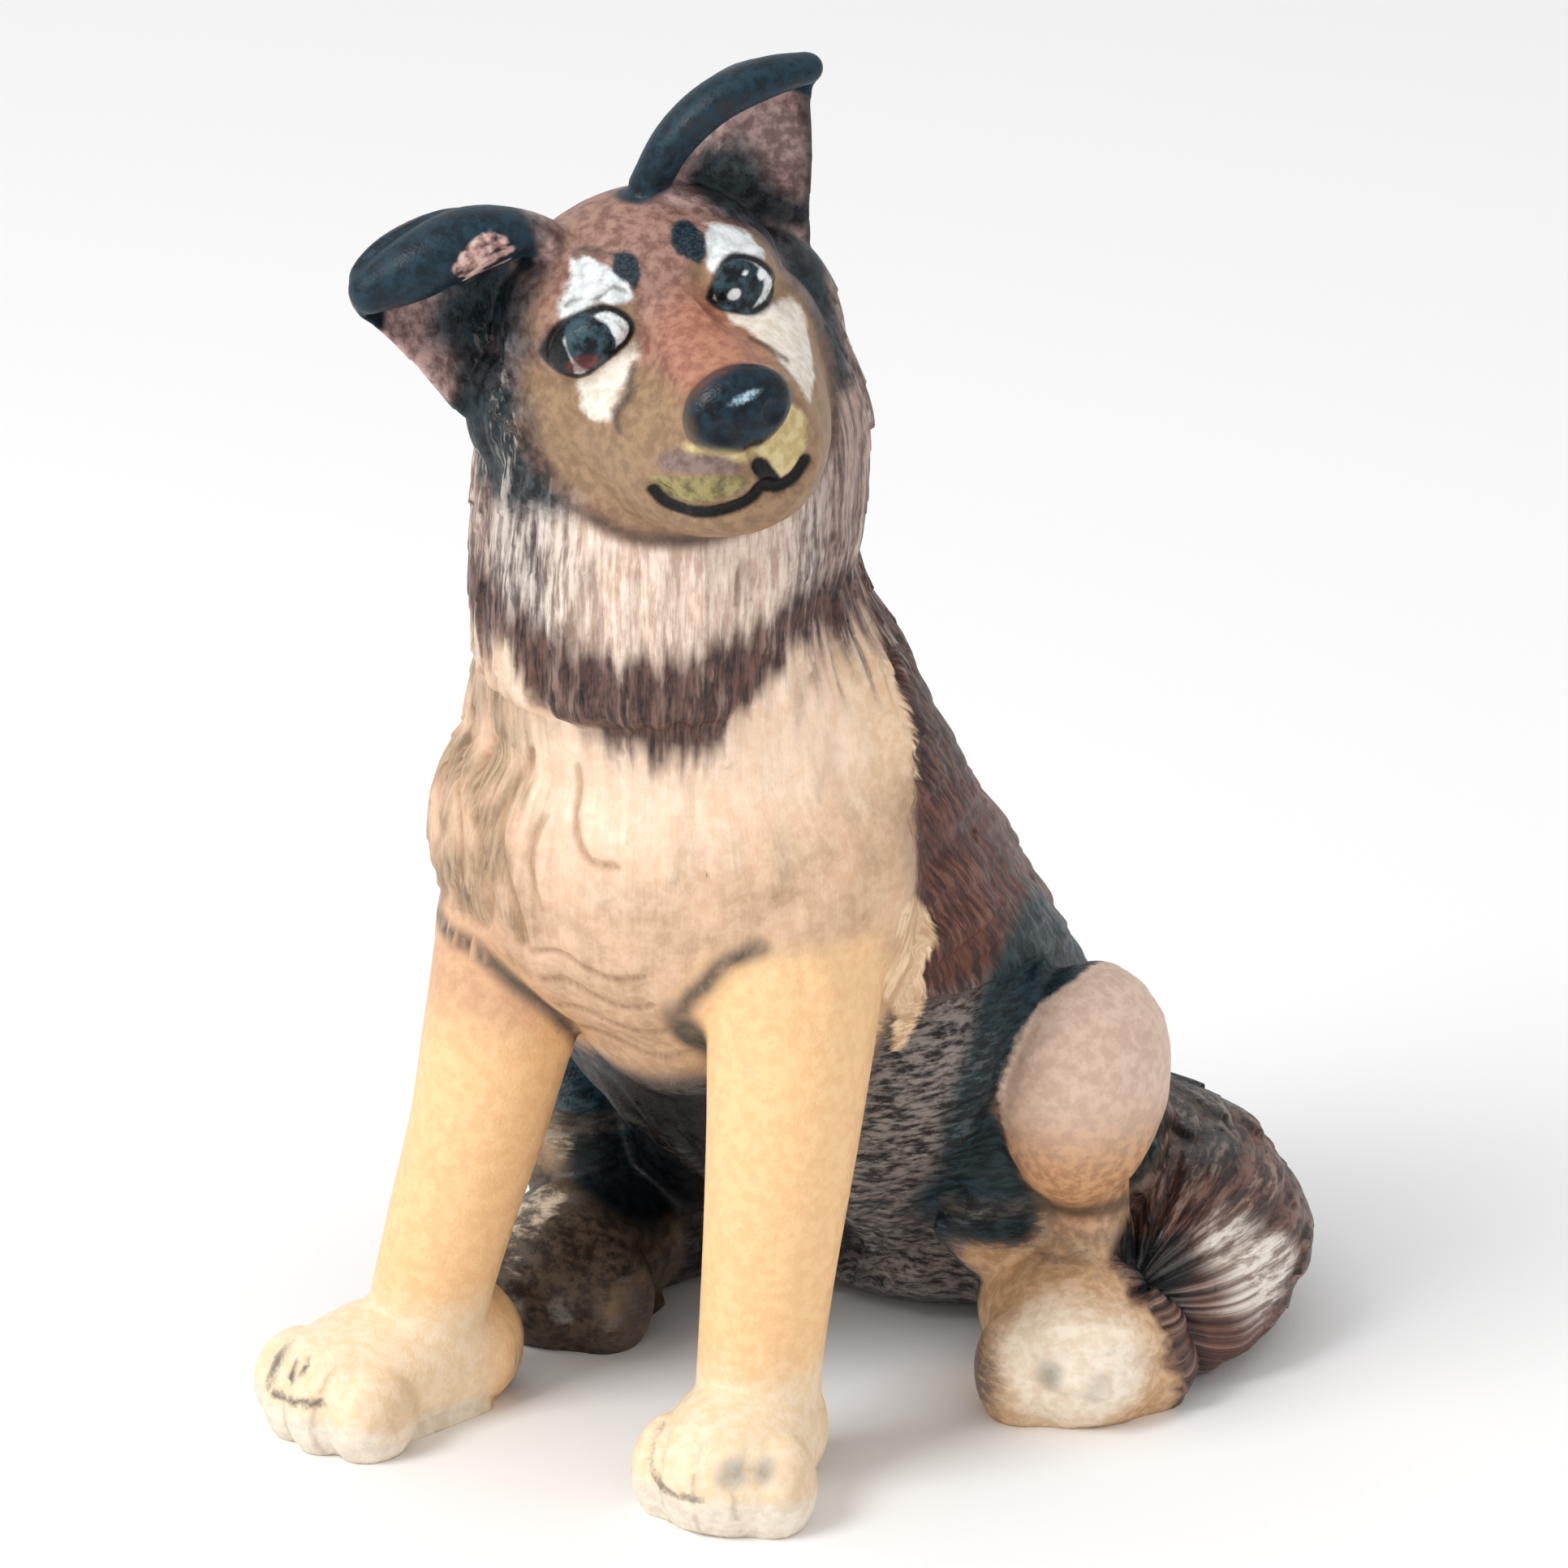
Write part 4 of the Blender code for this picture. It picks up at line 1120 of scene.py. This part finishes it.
class Graph:
    """A node tree that is built by short calls; each call gives back the new node's output."""

    def __init__(self, tree):
        self.tree = tree

    def add(self, kind, values, output=0, **settings):
        node = self.tree.nodes.new(kind)
        for name, value in settings.items():
            setattr(node, name, value)
        for place, value in values.items():
            socket = node.inputs[place]
            if isinstance(value, bpy.types.NodeSocket):
                self.tree.links.new(value, socket)
            else:
                socket.default_value = value
        return node.outputs[output]

    def field(self, name, output="Fac"):
        return self.add("ShaderNodeAttribute", {}, output, attribute_name=name)

    def math(self, operation, *values):
        return self.add("ShaderNodeMath", dict(enumerate(values)), operation=operation)

    def noise(self, vector, scale, detail, roughness):
        values = {"Vector": vector, "Scale": scale, "Detail": detail, "Roughness": roughness}
        return self.add("ShaderNodeTexNoise", values)

    def between(self, value, low, high, start=0.0, end=1.0):
        values = {"Value": value, "From Min": low, "From Max": high, "To Min": start, "To Max": end}
        return self.add("ShaderNodeMapRange", values, interpolation_type="SMOOTHSTEP")

    def mix(self, share, first, second, blend="MIX"):
        values = {0: share, 6: first, 7: second}
        return self.add("ShaderNodeMix", values, 2, data_type="RGBA", blend_type=blend)


def paint(material):
    """Mottled and streaked coats, the painted marks over them, and dry-brushed fur with painted shade at its
    roots over all.
    """
    tree = material.node_tree
    tree.nodes.clear()
    graph = Graph(tree)
    places = {name: graph.field(name, "Vector") for name in ("place", "strand")}
    noises = {name: graph.noise(places[place], *values) for name, (place, *values) in NOISES.items()}
    shares = {name: graph.between(value, 0.36, 0.64) for name, value in noises.items()}
    share = graph.add("ShaderNodeMix", {0: graph.field("streaky"), 2: shares["mottle"], 3: shares["streak"]})
    colour = graph.mix(share, graph.field("coat_dark", "Color"), graph.field("coat_light", "Color"))
    for zone, light, dark, blur, reach, strength, kind in MARKS:
        wave = graph.math("MULTIPLY_ADD", noises[kind], 2 * reach, graph.field(zone))
        amount = graph.between(wave, reach - blur, reach + blur, 0.0, strength)
        colour = graph.mix(amount, colour, graph.mix(shares[kind], linear(dark), linear(light)))
    shader = dry_brush_and_root_shade(graph, colour, noises)
    output = tree.nodes.new("ShaderNodeOutputMaterial")
    tree.links.new(shader, output.inputs["Surface"])


def dry_brush_and_root_shade(graph, colour, noises):
    """Light dry-brushed tips of the fur, painted shade at its roots, the sheen of the paint and the marks of
    the brush.
    """
    furry, relief = graph.field("furry"), graph.field("relief")
    tips = graph.math("MULTIPLY", graph.between(relief, 0.05, 0.5), furry)
    light = graph.math("MULTIPLY", tips, graph.between(noises["streak"], 0.5, 0.62, 0.0, 0.5))
    colour = graph.mix(light, colour, linear((238, 224, 210)))
    # painted shade in the grooves at the roots of the locks
    root_shade = graph.math("MULTIPLY", graph.between(relief, 0.02, -0.25, 0.0, 0.6), furry)
    colour = graph.mix(root_shade, colour, linear((120, 104, 100)), "MULTIPLY")
    wet = graph.math("MAXIMUM", graph.field("nose"), graph.field("lid"))
    rough = graph.between(noises["mottle"], 0.3, 0.7, 0.38, 0.54)
    rough = graph.math("MULTIPLY_ADD", graph.between(wet, -0.3, 0.4), -0.1, rough)
    strokes = graph.math("MULTIPLY", noises["streak"], furry)
    height = graph.math("MULTIPLY_ADD", noises["grain"], 0.25, strokes)
    bump = graph.add("ShaderNodeBump", {"Strength": 0.5, "Distance": 0.0008, "Height": height})
    return graph.add("ShaderNodeBsdfPrincipled", {
        "Base Color": colour,
        "Roughness": rough,
        "Specular IOR Level": 0.28,
        "Normal": bump,
    })


def dog(low, high):
    trunk = [*torso(), tail()]
    for values in zip((1, -1), HIND_FEET, KNEES, SHINS):
        trunk += haunch(*values)
    hind_paws = [*paw(*PAWS[2]), *paw(*PAWS[3])]
    body = fuse("body", trunk, rounds=14, grid=0.9)
    skin = fuse("dog_skin", [body, *fore_legs(), *hind_paws, neck_ruff(), *face(), *ears()], rounds=4)
    skin = thin_out(carve(skin))
    mark_zones(skin, vertex_values(skin.data, "co"))
    return into_box(skin, low, high)


def aimed(name, data, place, direction):
    """A camera or a lamp at this place, looking in this direction."""
    obj = add_object(name, data)
    obj.location = place
    obj.rotation_mode = "QUATERNION"
    obj.rotation_quaternion = direction.to_track_quat("-Z", "Y")
    return obj


def camera():
    """The photograph's place: to the dog's left of its front and a little above it."""
    data = bpy.data.cameras.new("camera")
    data.sensor_width = 36
    data.lens = LENS
    data.clip_end = 10
    level = math.cos(VIEW_RISE)
    back = Vector((math.sin(VIEW_TURN) * level, -math.cos(VIEW_TURN) * level, math.sin(VIEW_RISE)))
    bpy.context.scene.camera = aimed("camera", data, Vector(VIEW_AT) + VIEW_DISTANCE * back, -back)


def studio():
    """A pale floor that runs out of view, soft light from all round and a softbox up to the camera's left."""
    bpy.ops.mesh.primitive_plane_add(size=12)
    floor = bpy.context.object
    floor.name = "floor"
    material = bpy.data.materials.new("floor_paper")
    material.use_nodes = True
    inputs = material.node_tree.nodes["Principled BSDF"].inputs
    inputs["Base Color"].default_value = (0.94, 0.94, 0.94, 1)
    inputs["Roughness"].default_value = 0.9
    floor.data.materials.append(material)
    world = bpy.data.worlds.new("studio")
    world.use_nodes = True
    inputs = world.node_tree.nodes["Background"].inputs
    inputs["Color"].default_value = (1, 1, 1, 1)
    inputs["Strength"].default_value = 0.8
    bpy.context.scene.world = world
    softbox = bpy.data.lights.new("softbox", "AREA")
    softbox.size = 0.7
    softbox.energy = 16
    aimed("softbox", softbox, SOFTBOX_AT, Vector(SOFTBOX_AIM) - Vector(SOFTBOX_AT))
    bpy.context.scene.view_settings.view_transform = "Standard"


def main():
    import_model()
    low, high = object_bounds()
    piece = dog(low, high)
    material = bpy.data.materials.new("painted_wood")
    material.use_nodes = True
    paint(material)
    piece.data.materials.append(material)
    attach(piece, "root")
    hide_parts("dog")
    camera()
    studio()


main()
